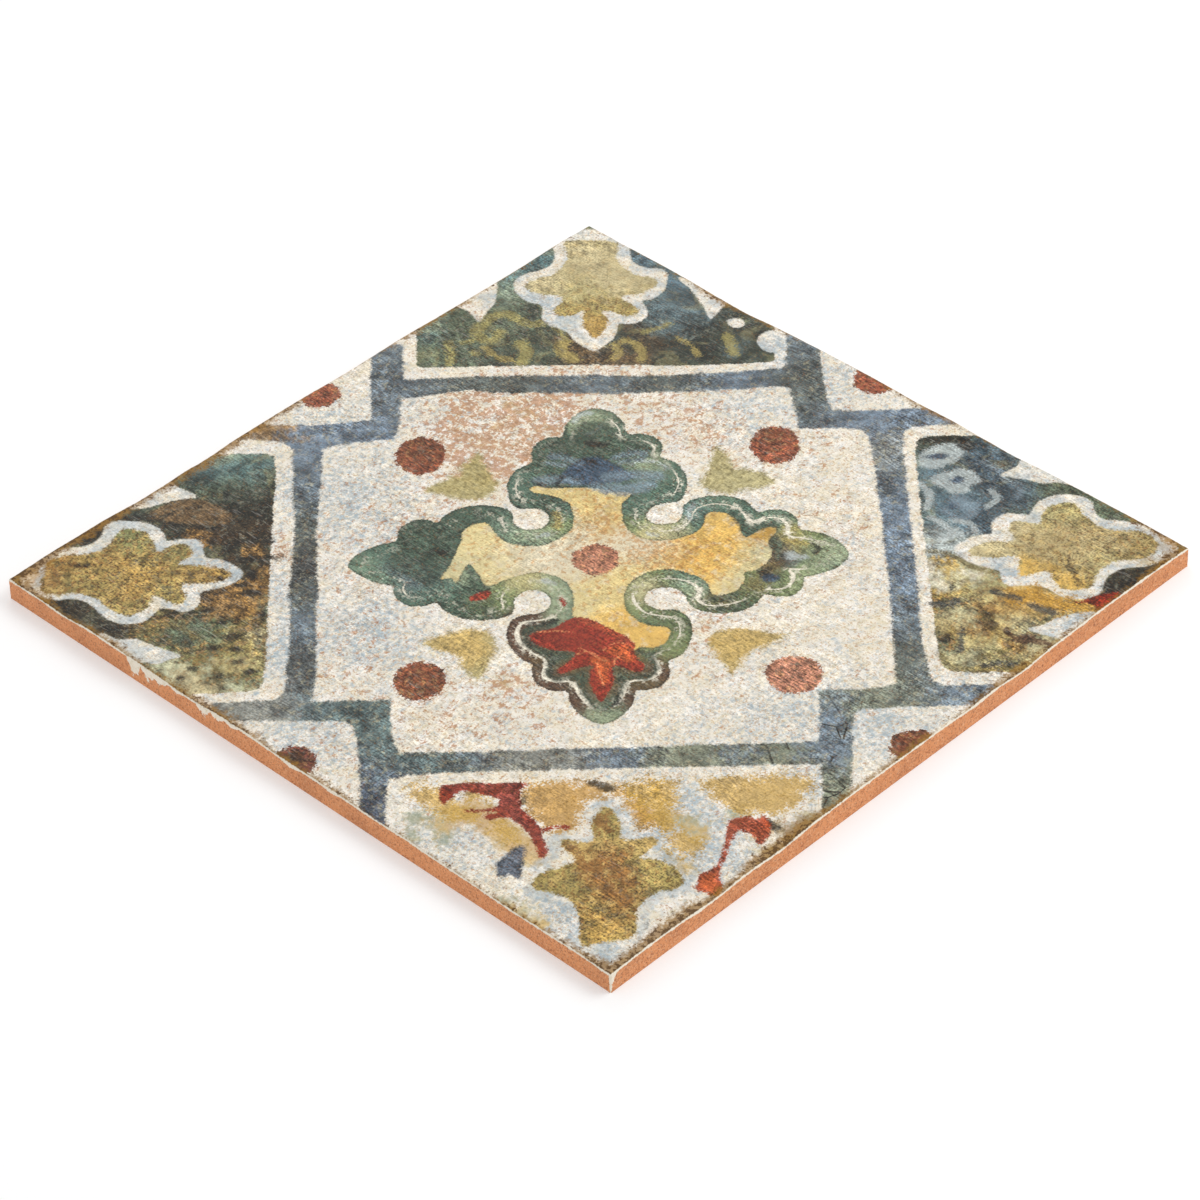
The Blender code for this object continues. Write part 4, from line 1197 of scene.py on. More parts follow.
def draw_brushwork(drawing):
    """Draws the finer brushwork, which leaves out the pale outlines of the fleurs."""
    for name, outlines in PATCHES.items():
        drawing.fill(name, outlines)
    for name, strokes in STROKES.items():
        for width, *path in strokes:
            drawing.stroke(name, path, width)
    for name, dabs in DABS.items():
        drawing.spots(name, dabs)
    ring = np.minimum(drawing.layer("halo"), -drawing.layer("fleur"))
    for name in BRUSHES:
        drawing.layers[name] = np.minimum(drawing.layer(name), -ring - HALO_GAP)


def draw_decoration(drawing, paints):
    """Draws the whole decoration, layer by layer."""
    drawing.fill("cross", [CROSS])
    drawing.fill("line", [LINE])
    drawing.fill("fill", [FILL])
    drawing.fill("strap", STRAPS, smooth=False)
    drawing.fill("panel", PANELS, smooth=False)
    drawing.fill("fleur", FLEURS)
    drawing.fill("halo", HALOES)
    drawing.spots("halo", HALO_DROPS)
    drawing.spots("dot", DOTS)
    drawing.fill("trefoil", TREFOILS)
    draw_brushwork(drawing)
    for name, clouds in WASHES.items():
        drawing.wash(name, clouds)
    for name, (base, speckle, roll, tints) in TINTS.items():
        drawing.tint(name, base, tints, paints, speckle, roll)


# Runs of glaze down the sides: the side, the place along it, half the width, the depth, and how
# sharply the run narrows
GLAZE_RUNS = (
    ("west", 91, 3.6, 6.0, 0.4), ("west", 83, 3.8, 4.6, 0.5), ("west", 76, 4.4, 2.8, 0.6),
    ("west", 66, 3.6, 1.0, 0.6), ("west", 51, 3.4, 3.6, 0.6), ("west", 43, 4.0, 2.0, 0.7),
    ("west", 35, 4.0, 1.2, 0.7), ("west", 2, 5.0, 1.2, 0.7), ("west", -20, 6.0, 0.6, 0.7),
    ("south", -166, 5.0, 9.4, 2.2), ("south", -120, 6.0, 0.5, 0.7), ("south", 40, 8.0, 0.5, 0.7),
    ("east", 60, 8.0, 1.8, 0.6), ("north", -30, 8.0, 2.0, 0.6),
)

# Heights and distances in millimetres: what lies lower than the face's edge can be, the strip in
# which its crest is looked for (at least one row of the face's cells ends there), the strip
# that counts as a side, and how far below the crest the
# rest of the underside is taken to be
UNDER_FACE = 5.0
CREST = (1.0, 2.2)
SIDE_STRIP = 0.7
FAR_BELOW = 9.0


def draw_rim(drawing):
    """How far each vertex lies from the tile's edge, and how far the glaze reaches past it."""
    half = HALF / MM
    drawing.layers["rim"] = half - np.maximum(np.abs(drawing.x), np.abs(drawing.y))
    along = {"west": drawing.y, "east": drawing.y, "south": drawing.x, "north": drawing.x}
    outward = {"west": -drawing.x, "east": drawing.x, "south": -drawing.y, "north": drawing.y}
    below = np.where(drawing.z < UNDER_FACE, FAR_BELOW, 0.0)
    lip = np.zeros(len(drawing.x))
    for side, place in along.items():
        inward = half - outward[side]
        near_rim = (inward > CREST[0]) & (inward < CREST[1])
        crest = np.flatnonzero(near_rim & (drawing.z > UNDER_FACE))
        crest = crest[np.argsort(place[crest])]
        top = np.interp(place, place[crest], drawing.z[crest])
        below = np.where(inward < SIDE_STRIP, top - drawing.z, below)
    for side, place, width, depth, taper in GLAZE_RUNS:
        on_side = outward[side] > half - SIDE_STRIP
        shape = np.clip(1 - np.abs(along[side] - place) / width, 0, 1) ** taper
        lip = np.maximum(lip, np.where(on_side, depth * shape, 0.0))
    drawing.layers["glaze_run"] = lip
    drawing.layers["below"] = below


# The places of the inputs and of the output that a colour Mix node uses
FACTOR, UNDER, OVER, MIXED = 0, 6, 7, 2

# The range that most of a noise keeps to, and a narrower one that gives more contrast
NOISE_SPREAD = (0.35, 0.65)
STEEP_SPREAD = (0.36, 0.64)

# The scale of the cracks, of the dots' fine hatching and of the scratches of wear
CRACK_SCALE = 75.0
HATCH_SCALE = (900.0, 420.0, 600.0)
SCRATCH_SCALE = (1300.0, 160.0, 600.0)

# How the band's rim darkens what it lies on
RIM_SHADE = (0.45, 0.45, 0.43, 1.0)

# How the glaze, the clay and the runs of glaze shine, and their small relief in metres
GLAZE_SPECULAR = 0.15
GLAZE_ROUGHNESS = (0.32, 0.5)
GLAZE_RELIEF, GLAZE_RELIEF_STRENGTH = 0.12 * MM, 0.6
CLAY_RELIEF, CLAY_RELIEF_STRENGTH = 0.08 * MM, 0.7
CLAY_ROUGHNESS, RUN_ROUGHNESS = 0.85, 0.4

# How each main layer is laid: how ragged and how soft its edge is, and how well it covers
EDGES = {
    "panel": (0.6, 0.5, 1.0),
    "halo": (0.5, 0.6, 1.0),
    "fleur": (0.9, 0.8, 1.0),
    "strap": (0.8, 0.8, 0.97),
    "trefoil": (1.6, 1.8, 0.9),
    "dot": (1.3, 0.5, 0.97),
}


def add(tree, kind, inputs=None, **settings):
    """Adds a node, sets it, and sets or links its inputs."""
    made = tree.nodes.new(kind)
    for name, value in settings.items():
        setattr(made, name, value)
    for socket, value in (inputs or {}).items():
        if isinstance(value, bpy.types.NodeSocket):
            tree.links.new(value, made.inputs[socket])
        else:
            made.inputs[socket].default_value = value
    return made


def math_node(tree, operation, *values):
    """A sum, product or other operation on values."""
    return add(tree, "ShaderNodeMath", dict(enumerate(values)), operation=operation).outputs[0]


def total(tree, first, *others):
    """The sum of values, each given alone or with the number that it is multiplied by."""
    for other in others:
        if isinstance(other, tuple):
            first = math_node(tree, "MULTIPLY_ADD", *other, first)
        else:
            first = math_node(tree, "ADD", first, other)
    return first


def product(tree, first, *others):
    """The product of values."""
    for other in others:
        first = math_node(tree, "MULTIPLY", first, other)
    return first


def ranged(tree, value, given, wanted, kind="LINEAR"):
    """A value taken from one range to another."""
    sockets = {"Value": value, "From Min": given[0], "From Max": given[1]}
    sockets |= {"To Min": wanted[0], "To Max": wanted[1]}
    return add(tree, "ShaderNodeMapRange", sockets, interpolation_type=kind).outputs["Result"]


def smooth_step(tree, value, low, high):
    """A soft step of a value from 0 at low to 1 at high."""
    return ranged(tree, value, (low, high), (0.0, 1.0), "SMOOTHSTEP")


def mix(tree, factor, under, over, blend="MIX"):
    """Lays one colour over another."""
    sockets = {FACTOR: factor, UNDER: under, OVER: over}
    node = add(tree, "ShaderNodeMix", sockets, data_type="RGBA", blend_type=blend)
    return node.outputs[MIXED]


def value_of(tree, name):
    """The number that the mesh keeps under a name."""
    return add(tree, "ShaderNodeAttribute", attribute_name=name).outputs["Fac"]


def colour_of(tree, name):
    """The colour that the mesh keeps under a name."""
    return add(tree, "ShaderNodeAttribute", attribute_name=name).outputs["Color"]


def brightness(tree, colour):
    """How bright a colour is."""
    return add(tree, "ShaderNodeRGBToBW", {"Color": colour}).outputs[0]


def grain(tree, place, scale, detail=2.0, roughness=0.6, stretch=None, distortion=0.0):
    """Three unlike noises of one scale, as a list."""
    if stretch is not None:
        place = add(tree, "ShaderNodeMapping", {"Vector": place, "Scale": stretch}).outputs[0]
    sockets = {"Vector": place, "Scale": scale, "Detail": detail, "Roughness": roughness}
    made = add(tree, "ShaderNodeTexNoise", sockets | {"Distortion": distortion})
    parts = add(tree, "ShaderNodeSeparateColor", {0: made.outputs["Color"]})
    return list(parts.outputs)


def new_group(name, inputs, outputs):
    """A shader node group, its inputs given by kind and default, its outputs by kind."""
    tree = bpy.data.node_groups.new(name, "ShaderNodeTree")
    for label, (kind, default) in inputs.items():
        socket = tree.interface.new_socket(label, in_out="INPUT", socket_type=f"NodeSocket{kind}")
        if default is not None:
            socket.default_value = default
    for label, kind in outputs.items():
        tree.interface.new_socket(label, in_out="OUTPUT", socket_type=f"NodeSocket{kind}")
    return tree, tree.nodes.new("NodeGroupInput").outputs, tree.nodes.new("NodeGroupOutput").inputs


def brushed_edge_group():
    """Turns how deep a point lies in a painted shape into a mask with a ragged, brushed edge."""
    inputs = {
        "Depth": ("Float", 0.0),
        "Wander": ("Float", 0.0),
        "Raggedness": ("Float", 0.8),
        "Softness": ("Float", 0.4),
    }
    tree, given, results = new_group("brushed edge", inputs, {"Mask": "Float"})
    depth = total(tree, given["Depth"], (given["Wander"], given["Raggedness"]))
    low = product(tree, given["Softness"], -1.0)
    tree.links.new(smooth_step(tree, depth, low, given["Softness"]), results["Mask"])


def wandering_group():
    """The wander of brushed edges: slow and fast noise, from about -1 to 1."""
    inputs = {
        "Vector": ("Vector", None),
        "Slow Scale": ("Float", 260.0),
        "Fast Scale": ("Float", 1100.0),
    }
    tree, given, results = new_group("wander", inputs, {"Wander": "Float"})
    slow = grain(tree, given["Vector"], given["Slow Scale"], 2.0)[0]
    fast = grain(tree, given["Vector"], given["Fast Scale"], 1.0)[1]
    centred = total(tree, -0.95, slow, (fast, 0.9))
    tree.links.new(product(tree, centred, 3.4), results["Wander"])


def clay_grain_group():
    """Sanded clay: its colour with fine dark and light grains, painted shade in its pits, and its relief.
    """
    inputs = {
        "Vector": ("Vector", None),
        "Clay": ("Color", None),
        "Dark Clay": ("Color", None),
        "Light Clay": ("Color", None),
    }
    tree, given, results = new_group("clay grain", inputs, {"Color": "Color", "Height": "Float"})
    broad = grain(tree, given["Vector"], 70.0, 3.0)[0]
    fine = grain(tree, given["Vector"], 1300.0, 2.0, 0.7)
    pits = grain(tree, given["Vector"], 600.0, 2.0, 0.5)[0]
    # The pits are sunk in the relief and darkened with the dark clay: partly the clay's darker grain,
    # partly painted shade in the pits
    deep = product(tree, smooth_step(tree, pits, 0.64, 0.74), 0.6)
    coats = (
        (product(tree, smooth_step(tree, broad, 0.35, 0.75), 0.3), "Dark Clay"),
        (product(tree, smooth_step(tree, fine[1], 0.5, 0.66), 0.6), "Light Clay"),
        (product(tree, smooth_step(tree, fine[0], 0.5, 0.66), 0.75), "Dark Clay"),
        (deep, "Dark Clay"),
    )
    colour = given["Clay"]
    for share, clay in coats:
        colour = mix(tree, share, colour, given[clay])
    tree.links.new(colour, results["Color"])
    tree.links.new(total(tree, fine[0], (deep, -2.0)), results["Height"])


# The node groups, each built once
GROUPS = {
    "brushed edge": brushed_edge_group,
    "wander": wandering_group,
    "clay grain": clay_grain_group,
}


class GlazePainter:
    """Lays paint over paint in one material, each inside its own brushed mask."""

    def __init__(self, tree, ground, paints):
        self.tree = tree
        self.colour = ground
        self.paints = paints
        self.place = add(tree, "ShaderNodeTexCoord").outputs["Object"]
        wander = add(tree, "ShaderNodeGroup", node_tree=bpy.data.node_groups["wander"])
        tree.links.new(self.place, wander.inputs["Vector"])
        self.wander = wander.outputs["Wander"]
        self.painted = 0.0
        self.glossy = 0.0

    def grain(self, *settings, **more):
        """Three unlike noises of one scale."""
        return grain(self.tree, self.place, *settings, **more)

    @cached_property
    def cloud(self):
        """Noises as wide as a finger."""
        return self.grain(95.0, 3.0, 0.62)

    @cached_property
    def mottle(self):
        """Noises of a few millimetres."""
        return self.grain(260.0, 3.0, 0.64)

    @cached_property
    def blotch(self):
        """Torn noises of a millimetre or two."""
        return self.grain(420.0, 3.0, 0.66, distortion=0.4)

    @cached_property
    def speck(self):
        """The finest noises."""
        return self.grain(1050.0, 1.5, 0.6)

    def mask(self, depth, raggedness, softness):
        """A brushed mask of a layer."""
        made = add(self.tree, "ShaderNodeGroup", node_tree=bpy.data.node_groups["brushed edge"])
        self.tree.links.new(depth, made.inputs["Depth"])
        self.tree.links.new(self.wander, made.inputs["Wander"])
        made.inputs["Raggedness"].default_value = raggedness
        made.inputs["Softness"].default_value = softness
        return made.outputs["Mask"]

    def lay(self, colour, *masks):
        """Lays a colour, or the paint of that name, where all of the masks are."""
        if isinstance(colour, str):
            colour = solid(self.paints, colour)
        self.colour = mix(self.tree, product(self.tree, *masks), self.colour, colour)

    def speckle(self, colour, level, low, high, *masks):
        """Lays a colour where a level rises from low to high, inside the masks."""
        self.lay(colour, smooth_step(self.tree, level, low, high), *masks)

    def shade(self, light, *masks):
        """Multiplies the colour by a value where all of the masks are."""
        self.colour = mix(self.tree, product(self.tree, *masks), self.colour, light, "MULTIPLY")

    def vary(self, level, first, last, *masks):
        """Multiplies the colour by a noise that goes from a first value to a last one."""
        self.shade(ranged(self.tree, level, NOISE_SPREAD, (first, last)), *masks)

    def cover(self, mask):
        """Marks a place as thickly painted."""
        self.painted = math_node(self.tree, "MAXIMUM", self.painted, mask)

    def bare(self, mask, share=1.0):
        """Marks a place as thinly painted."""
        left = total(self.tree, 1.0, (mask, -share))
        self.painted = product(self.tree, self.painted, left)

    def layer(self, name, colour, raggedness, softness, strength):
        """Lays a colour over the layer that the mesh keeps under a name."""
        mask = self.mask(value_of(self.tree, name), raggedness, softness)
        self.lay(colour, mask, strength)
        self.cover(mask)
        return mask


def solid(paints, name):
    """A paint as a node's colour."""
    return (*getattr(paints, name), 1.0)


def lay_ground(painter):
    """The worn cream ground with its blue washes and rust-coloured scratches."""
    tree = painter.tree
    cloud, mottle, blotch, speck = painter.cloud, painter.mottle, painter.blotch, painter.speck
    blue = value_of(tree, "blue_wash")
    painter.speckle("chalk", cloud[0], 0.35, 0.7)
    painter.lay("chalk", math_node(tree, "MINIMUM", blue, 1.0), 0.5)
    painter.speckle("sand", blotch[2], 0.48, 0.7, 0.5)
    level = total(tree, blotch[0], (blue, 0.17), (cloud[1], 0.35), (speck[2], 0.25))
    painter.speckle("sky", level, 0.76, 1.14, 0.9)
    painter.speckle("tan", speck[1], 0.55, 0.66, 0.55)
    level = total(tree, product(tree, blotch[1], 0.75), (mottle[2], 0.5), (speck[0], 0.22))
    level = total(tree, level, (value_of(tree, "rust_wash"), 0.13))
    painter.speckle("rust", level, 0.82, 0.96, 0.72)
    level = total(tree, -1.3, (value_of(tree, "stain"), 0.9), (blotch[2], 1.5), (cloud[2], 0.9))
    painter.speckle(colour_of(tree, "stain_tint"), level, 0.1, 0.8, 0.8)


def lay_straps(painter):
    """The straps, with a paler worn grain and, in places, fine dark cracks."""
    tree = painter.tree
    mask = painter.layer("strap", colour_of(tree, "strap_tint"), *EDGES["strap"])
    painter.vary(painter.cloud[2], 0.6, 1.4, mask)
    painter.speckle("ink_soft", painter.mottle[2], 0.5, 0.68, mask, 0.4)
    painter.speckle("sand", painter.blotch[1], 0.52, 0.7, mask, 0.32)
    sockets = {"Vector": painter.place, "Scale": CRACK_SCALE}
    cell = add(tree, "ShaderNodeTexVoronoi", sockets, feature="DISTANCE_TO_EDGE")
    broken = smooth_step(tree, painter.cloud[1], 0.4, 0.6)
    cracked = product(tree, broken, value_of(tree, "cracks"), mask, 0.7)
    painter.speckle("ink", cell.outputs["Distance"], 0.035, 0.01, cracked)


def lay_fleurs(painter):
    """The fleurs, mottled in ochre and olive with a fine brown speckle on their darker parts."""
    tree = painter.tree
    tint = colour_of(tree, "fleur_tint")
    mask = painter.layer("fleur", tint, *EDGES["fleur"])
    dark = product(tree, mask, ranged(tree, brightness(tree, tint), (0.28, 0.46), (1.0, 0.25)))
    painter.vary(painter.cloud[0], 1.12, 0.84, mask)
    painter.speckle("olive_dark", painter.mottle[0], 0.5, 0.62, dark, 0.65)
    painter.speckle("ochre_pale", painter.mottle[1], 0.5, 0.62, dark, 0.6)
    painter.speckle("rust_brown", painter.blotch[0], 0.52, 0.62, dark, 0.6)
    painter.speckle("bark_olive", painter.speck[0], 0.55, 0.66, dark, 0.65)
    painter.bare(mask, 0.3)


def lay_foliage(painter):
    """Swirls and speckles of darker and paler paint in the panels, as of brushed leaves."""
    tree = painter.tree
    tint = colour_of(tree, "panel_tint")
    mask = painter.layer("panel", tint, *EDGES["panel"])
    swirl = painter.grain(72.0, 3.0, 0.5, distortion=1.2)
    painter.shade(ranged(tree, swirl[0], STEEP_SPREAD, (1.35, 0.6)), mask)
    painter.speckle("olive_pale", swirl[1], 0.56, 0.66, mask, 0.2)
    painter.speckle("moss_slate", swirl[2], 0.58, 0.68, mask, 0.2)
    red, _, blue = add(tree, "ShaderNodeSeparateColor", {0: tint}).outputs
    warm = smooth_step(tree, total(tree, red, (blue, -1.0)), 0.015, 0.1)
    darkness = ranged(tree, brightness(tree, tint), (0.08, 0.4), (0.85, 0.25))
    dark = product(tree, mask, warm, darkness)
    painter.speckle("umber", painter.mottle[1], 0.49, 0.6, dark)
    painter.speckle("panel_tan", painter.blotch[1], 0.5, 0.6, dark)


def lay_trefoils(painter):
    """The trefoils with their dark speckle."""
    tint = colour_of(painter.tree, "spot_tint")
    mask = painter.layer("trefoil", tint, *EDGES["trefoil"])
    painter.speckle("olive_dark", painter.blotch[0], 0.5, 0.6, mask, 0.5)
    painter.bare(mask, 0.6)


def lay_dots(painter):
    """The round dots, hatched with fine strokes."""
    tree = painter.tree
    mask = painter.layer("dot", colour_of(tree, "dot_tint"), *EDGES["dot"])
    hatch = painter.grain(1.0, 2.0, 0.6, stretch=HATCH_SCALE)
    painter.shade(ranged(tree, hatch[0], STEEP_SPREAD, (1.5, 0.5)), mask)
    painter.speckle("tan", painter.blotch[2], 0.54, 0.66, mask, 0.4)


def lay_pale_line(painter, band):
    """The pale line along the middle of the cross's band, with chalky stippling beside it."""
    tree = painter.tree
    off = math_node(tree, "ABSOLUTE", value_of(tree, "line"))
    strength = value_of(tree, "line_strength")
    half = total(tree, 0.3, (value_of(tree, "line_width"), 0.8))
    line = painter.mask(total(tree, half, (off, -1.0)), 0.25, 0.35)
    broken = total(tree, strength, (painter.wander, 0.22))
    painter.lay("line_white", line, smooth_step(tree, broken, 0.3, 0.8), 0.9)
    beside = smooth_step(tree, off, 3.6, 0.8)
    most = total(tree, 0.35, (math_node(tree, "MINIMUM", strength, 1.0), 0.65))
    painter.speckle("line_white", painter.blotch[1], 0.5, 0.62, beside, band, most, 0.72)


def lay_cross(painter):
    """The cross: its band with a darker rim, and its fill with the rust-coloured speckle."""
    tree = painter.tree
    depth = value_of(tree, "cross")
    inner = value_of(tree, "fill")
    band = painter.mask(depth, 0.5, 0.35)
    painter.lay(colour_of(tree, "band_tint"), band)
    painter.cover(band)
    painter.vary(painter.mottle[0], 0.75, 1.8, band)
    outside = math_node(tree, "MINIMUM", depth, product(tree, inner, -1.0))
    rim = painter.mask(total(tree, 0.7, (outside, -1.0)), 0.5, 0.8)
    painter.shade(RIM_SHADE, rim, band, 0.8)
    fill = painter.mask(inner, 0.6, 0.45)
    painter.lay(colour_of(tree, "fill_tint"), fill)
    painter.bare(fill, 0.7)
    painter.vary(painter.cloud[1], 0.9, 1.1, fill)
    painter.speckle("cream_warm", painter.mottle[2], 0.5, 0.66, fill, 0.45)
    level = total(tree, painter.blotch[0], (value_of(tree, "fill_rust"), 0.1))
    painter.speckle("fill_speck", level, 0.53, 0.7, fill, 0.65)
    lay_pale_line(painter, band)


def lay_brushwork(painter):
    """The finer brushwork, paint by paint."""
    for name, (raggedness, softness, strength) in BRUSHES.items():
        mask = painter.layer(name, name, raggedness, softness, strength)
        if name in GLOSSY:
            painter.glossy = math_node(painter.tree, "MAXIMUM", painter.glossy, mask)


def add_wear(painter):
    """Mottling, scratches along one side and fine grain, stronger where dark paint lies."""
    tree = painter.tree
    mottle, speck = painter.mottle, painter.speck
    scratch = painter.grain(1.0, 2.0, 0.6, stretch=SCRATCH_SCALE)
    bright = brightness(tree, painter.colour)
    amount = product(tree, painter.painted, ranged(tree, bright, (0.05, 0.5), (1.0, 0.25)))
    patchy = ranged(tree, painter.grain(34.0, 2.0, 0.6)[0], STEEP_SPREAD, (0.45, 1.45))
    some = product(tree, total(tree, 0.2, (amount, 0.8)), patchy)
    painter.vary(mottle[0], 1.5, 0.5, some)
    painter.vary(scratch[0], 1.5, 0.52, some)
    painter.vary(speck[0], 1.6, 0.5, some)
    dull = product(tree, amount, patchy, total(tree, 1.0, (painter.glossy, -1.0)))
    painter.speckle("worn_light", painter.blotch[1], 0.52, 0.74, dull, 0.45)
    painter.speckle("chalk", scratch[1], 0.56, 0.78, dull, 0.2)
    painter.speckle("black_brown", speck[1], 0.57, 0.72, amount, 0.55)
    painter.speckle("rust_brown", speck[2], 0.55, 0.72, painter.painted, 0.35)


def add_edge_grime(painter):
    """Brown speckle along the tile's edges, and the thick cream lip of glaze at the very edge."""
    tree = painter.tree
    rim = value_of(tree, "rim")
    cloud, blotch, speck = painter.cloud, painter.blotch, painter.speck
    reach = total(tree, -9.2, (value_of(tree, "grime"), 6.8), (cloud[0], 8.0), (rim, -1.0))
    reach = total(tree, reach, (blotch[0], 7.2), (speck[0], 4.0))
    painter.speckle("grime_light", reach, -0.6, 3.6, 0.82)
    deeper = total(tree, product(tree, reach, 0.6), -12.0, (blotch[1], 14.0), (speck[1], 6.0))
    painter.speckle("grime_dark", deeper, -0.3, 1.6, 0.8)
    painter.lay("lip", painter.mask(total(tree, 0.55, (rim, -1.0)), 0.2, 0.2))


def add_bump(tree, shader, height, distance, strength):
    """Small relief."""
    sockets = {"Height": height, "Distance": distance, "Strength": strength}
    bump = add(tree, "ShaderNodeBump", sockets)
    tree.links.new(bump.outputs["Normal"], shader.inputs["Normal"])


def finish_glaze(painter, shader):
    """The glaze's gloss and the small relief that it has over the pressed clay."""
    tree = painter.tree
    shader.inputs["Specular IOR Level"].default_value = GLAZE_SPECULAR
    worn = painter.grain(210.0, 3.0, 0.6)
    gloss = ranged(tree, worn[0], (0.0, 1.0), GLAZE_ROUGHNESS)
    tree.links.new(gloss, shader.inputs["Roughness"])
    dimples = painter.grain(55.0, 3.0, 0.55)
    relief = total(tree, worn[1], (dimples[0], 5.0))
    add_bump(tree, shader, relief, GLAZE_RELIEF, GLAZE_RELIEF_STRENGTH)


def new_material(name):
    """A material with only its shader and its output."""
    material = bpy.data.materials.new(name)
    material.use_nodes = True
    tree = material.node_tree
    return material, tree, tree.nodes["Principled BSDF"]


def painted_glaze(paints):
    """The face: the worn, painted glaze."""
    material, tree, shader = new_material("painted_glaze")
    painter = GlazePainter(tree, solid(paints, "cream"), paints)
    lay_ground(painter)
    ground = painter.colour
    lay_foliage(painter)
    halo = painter.layer("halo", ground, *EDGES["halo"])
    painter.bare(halo)
    painter.speckle("sky", painter.cloud[1], 0.4, 0.62, halo, 0.5)
    lay_fleurs(painter)
    lay_straps(painter)
    lay_trefoils(painter)
    lay_cross(painter)
    lay_dots(painter)
    lay_brushwork(painter)
    add_wear(painter)
    add_edge_grime(painter)
    tree.links.new(painter.colour, shader.inputs["Base Color"])
    finish_glaze(painter, shader)
    return material


def fired_clay(paints):
    """The sides and the back: sanded red clay, with cream glaze where it ran over the edge."""
    material, tree, shader = new_material("fired_clay")
    clay = add(tree, "ShaderNodeGroup", node_tree=bpy.data.node_groups["clay grain"])
    for socket, name in (("Clay", "clay"), ("Dark Clay", "clay_dark"), ("Light Clay", "clay_light")):
        clay.inputs[socket].default_value = solid(paints, name)
    painter = GlazePainter(tree, clay.outputs["Color"], paints)
    tree.links.new(painter.place, clay.inputs["Vector"])
    run = value_of(tree, "glaze_run")
    crust = painter.blotch
    torn = product(tree, run, ranged(tree, crust[0], (0.3, 0.7), (-0.6, 0.6)))
    covered = total(tree, run, 0.6, torn, (value_of(tree, "below"), -1.0))
    mask = painter.mask(covered, 0.3, 0.15)
    painter.lay("lip", mask, 0.95)
    painter.speckle("sand", crust[1], 0.5, 0.7, mask, 0.6)
    tree.links.new(painter.colour, shader.inputs["Base Color"])
    gloss = ranged(tree, mask, (0.0, 1.0), (CLAY_ROUGHNESS, RUN_ROUGHNESS))
    tree.links.new(gloss, shader.inputs["Roughness"])
    add_bump(tree, shader, clay.outputs["Height"], CLAY_RELIEF, CLAY_RELIEF_STRENGTH)
    return material


class GLAZEDTILE_OT_tile(Operator):
    """Press the slab, paint its face and dress it in glaze and clay"""

    bl_idname = "glazed_tile.make_tile"
    bl_label = "Make the Tile"
    bl_options = {"REGISTER", "UNDO"}

    def execute(self, context):
        paints = context.scene.tile_paints
        mesh = make_slab(context.scene.tile_sizes)
        drawing = Drawing(mesh)
        draw_decoration(drawing, paints)
        draw_rim(drawing)
        drawing.store(mesh)
        for name, make_group in GROUPS.items():
            if name not in bpy.data.node_groups:
                make_group()
        mesh.materials.append(painted_glaze(paints))
        mesh.materials.append(fired_clay(paints))
        tile = bpy.data.objects.new("glazed_tile", mesh)
        context.scene.collection.objects.link(tile)
        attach(tile, "root")
        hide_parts(NODE)
        return {"FINISHED"}


# The stage, in metres: half the floor's side, the place and the size of each lamp, and how far
# the camera sees; the width of its sensor is in millimetres
FLOOR_REACH = 4.0
FLOOR_ROUGHNESS = 0.9
KEY_LIGHT = ((1.3, -0.9, 1.9), 1.4)
HAZE_LIGHT = ((1.2, 1.5, 1.3), 1.2)
SENSOR_WIDTH = 36.0
FAR_CLIP = 20.0
WHITE = (1.0, 1.0, 1.0, 1.0)

# What the camera looks at, as shares of the tile's side, on the plane of its corners
TARGET = (-0.04717, -0.04753)
CORNER_PLANE = 8.9 * MM


def make_floor(settings):
    """A wide pale floor under the tile."""
    floor = bmesh.new()
    bmesh.ops.create_grid(floor, x_segments=1, y_segments=1, size=FLOOR_REACH)
    mesh = bpy.data.meshes.new("floor")
    floor.to_mesh(mesh)
    floor.free()
    material, _, shader = new_material("plain_floor")
    shader.inputs["Base Color"].default_value = (*settings.floor, 1.0)
    shader.inputs["Roughness"].default_value = FLOOR_ROUGHNESS
    shader.inputs["Emission Color"].default_value = WHITE
    shader.inputs["Emission Strength"].default_value = settings.floor_lift
    mesh.materials.append(material)
    thing = bpy.data.objects.new("floor", mesh)
    thing.location.z = LOWEST.z
    bpy.context.scene.collection.objects.link(thing)


def camera_axes(settings):
    """The camera's right, up and backward directions."""
    azimuth, elevation = settings.azimuth, settings.elevation
    level = math.cos(elevation)
    backward = Vector((math.sin(azimuth) * level, -math.cos(azimuth) * level, math.sin(elevation)))
    right = Vector((0.0, 0.0, 1.0)).cross(backward).normalized()
    up = backward.cross(right)
    turn = Matrix.Rotation(settings.roll, 3, backward)
    return turn @ right, turn @ up, backward


def make_camera(settings):
    """The camera at the photograph's angle."""
    camera = bpy.data.cameras.new("camera")
    camera.lens = settings.lens
    camera.sensor_width = SENSOR_WIDTH
    camera.clip_end = FAR_CLIP
    thing = bpy.data.objects.new("camera", camera)
    right, up, backward = camera_axes(settings)
    side = 2 * HALF
    target = Vector((TARGET[0] * side, TARGET[1] * side, LOWEST.z + CORNER_PLANE))
    turn = Matrix((right, up, backward)).transposed().to_4x4()
    thing.matrix_world = Matrix.Translation(target + backward * settings.distance) @ turn
    bpy.context.scene.collection.objects.link(thing)
    bpy.context.scene.camera = thing


def make_lamp(name, place, size, power):
    """A square soft light that faces the tile."""
    lamp = bpy.data.lights.new(name, "AREA")
    lamp.shape = "SQUARE"
    lamp.size = size
    lamp.energy = power
    thing = bpy.data.objects.new(name, lamp)
    thing.location = place
    thing.rotation_euler = (-Vector(place)).to_track_quat("-Z", "Y").to_euler()
    bpy.context.scene.collection.objects.link(thing)


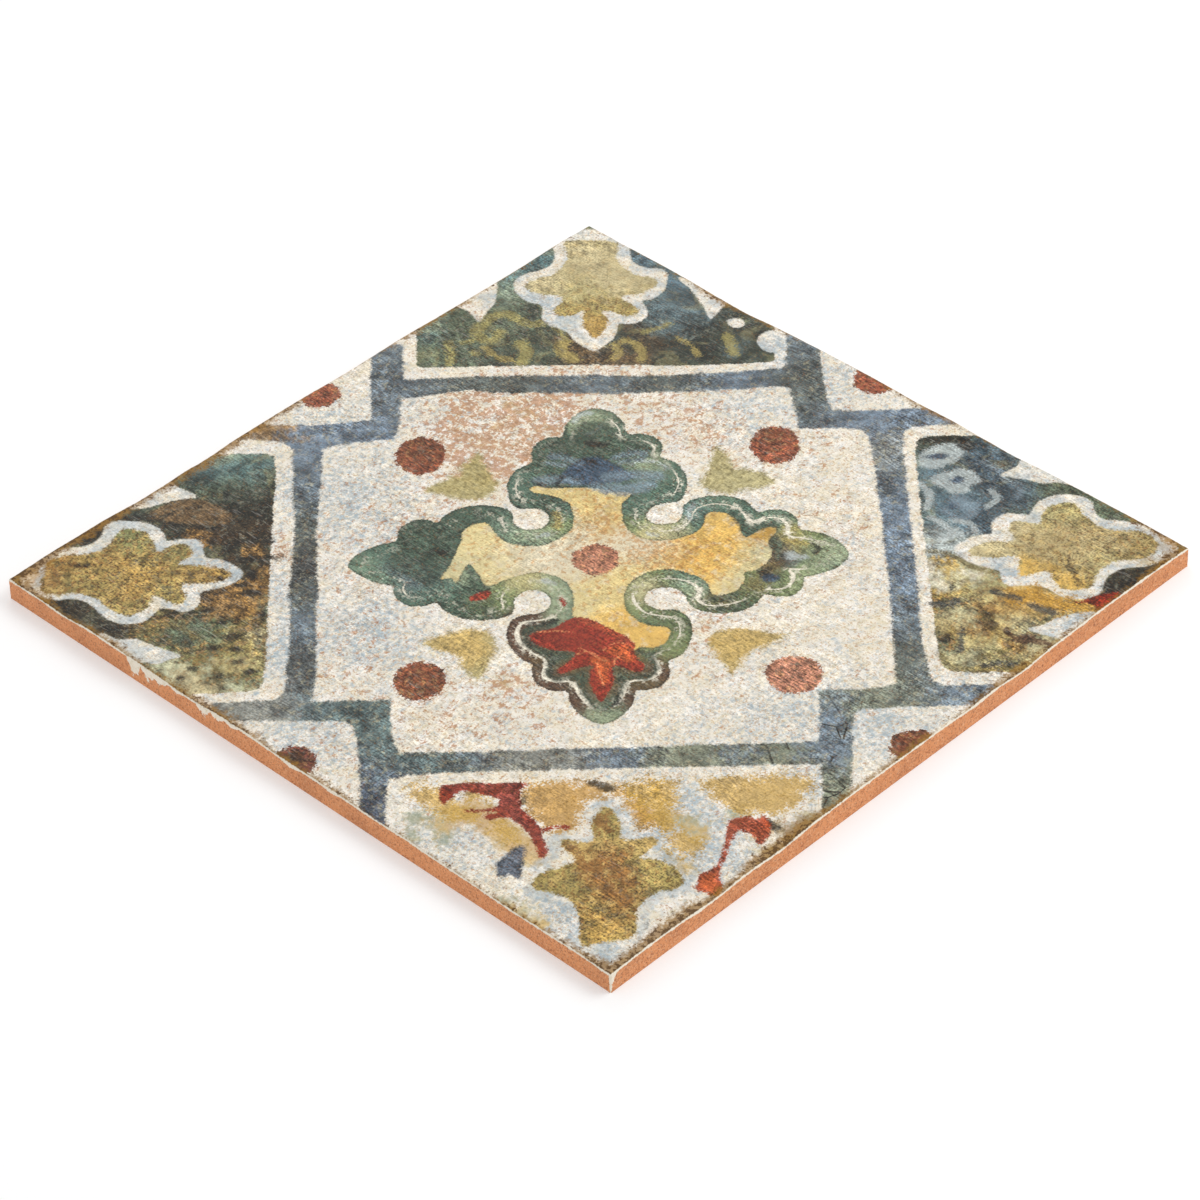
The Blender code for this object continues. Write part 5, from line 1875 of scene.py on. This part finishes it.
def make_surroundings(strength):
    """Plain white surroundings."""
    world = bpy.data.worlds.new("white surroundings")
    world.use_nodes = True
    background = world.node_tree.nodes["Background"]
    background.inputs["Color"].default_value = WHITE
    background.inputs["Strength"].default_value = strength
    bpy.context.scene.world = world


class GLAZEDTILE_OT_stage(Operator):
    """Set the floor, the soft lights and the camera"""

    bl_idname = "glazed_tile.set_stage"
    bl_label = "Set the Stage"
    bl_options = {"REGISTER", "UNDO"}

    def execute(self, context):
        settings = context.scene.tile_studio
        make_floor(settings)
        make_camera(settings)
        make_surroundings(settings.sky_strength)
        make_lamp("key light", *KEY_LIGHT, settings.key_power)
        make_lamp("haze light", *HAZE_LIGHT, settings.haze_power)
        context.scene.view_settings.view_transform = "Standard"
        return {"FINISHED"}


class GLAZEDTILE_PT_panel(Panel):
    """The tile's sizes and paints, and its two makers"""

    bl_label = "Glazed Wall Tile"
    bl_space_type = "VIEW_3D"
    bl_region_type = "UI"
    bl_category = "Tile"

    def draw(self, context):
        layout = self.layout
        scene = context.scene
        for settings in (scene.tile_sizes, scene.tile_paints, scene.tile_studio):
            column = layout.column()
            for name in settings.__annotations__:
                column.prop(settings, name)
        layout.operator(GLAZEDTILE_OT_tile.bl_idname)
        layout.operator(GLAZEDTILE_OT_stage.bl_idname)


SETTINGS = {"tile_sizes": TileSizes, "tile_paints": TilePaints, "tile_studio": StudioSettings}
CLASSES = (*SETTINGS.values(), GLAZEDTILE_OT_tile, GLAZEDTILE_OT_stage, GLAZEDTILE_PT_panel)


def register():
    """Adds the settings, the operators and the panel to Blender."""
    for made in CLASSES:
        bpy.utils.register_class(made)
    for name, group in SETTINGS.items():
        setattr(bpy.types.Scene, name, PointerProperty(type=group))


def unregister():
    """Takes the settings, the operators and the panel out of Blender."""
    for name in SETTINGS:
        delattr(bpy.types.Scene, name)
    for made in reversed(CLASSES):
        bpy.utils.unregister_class(made)


def main():
    """Makes the tile and its stage."""
    register()
    bpy.ops.glazed_tile.make_tile()
    bpy.ops.glazed_tile.set_stage()


if __name__ == "__main__":
    main()
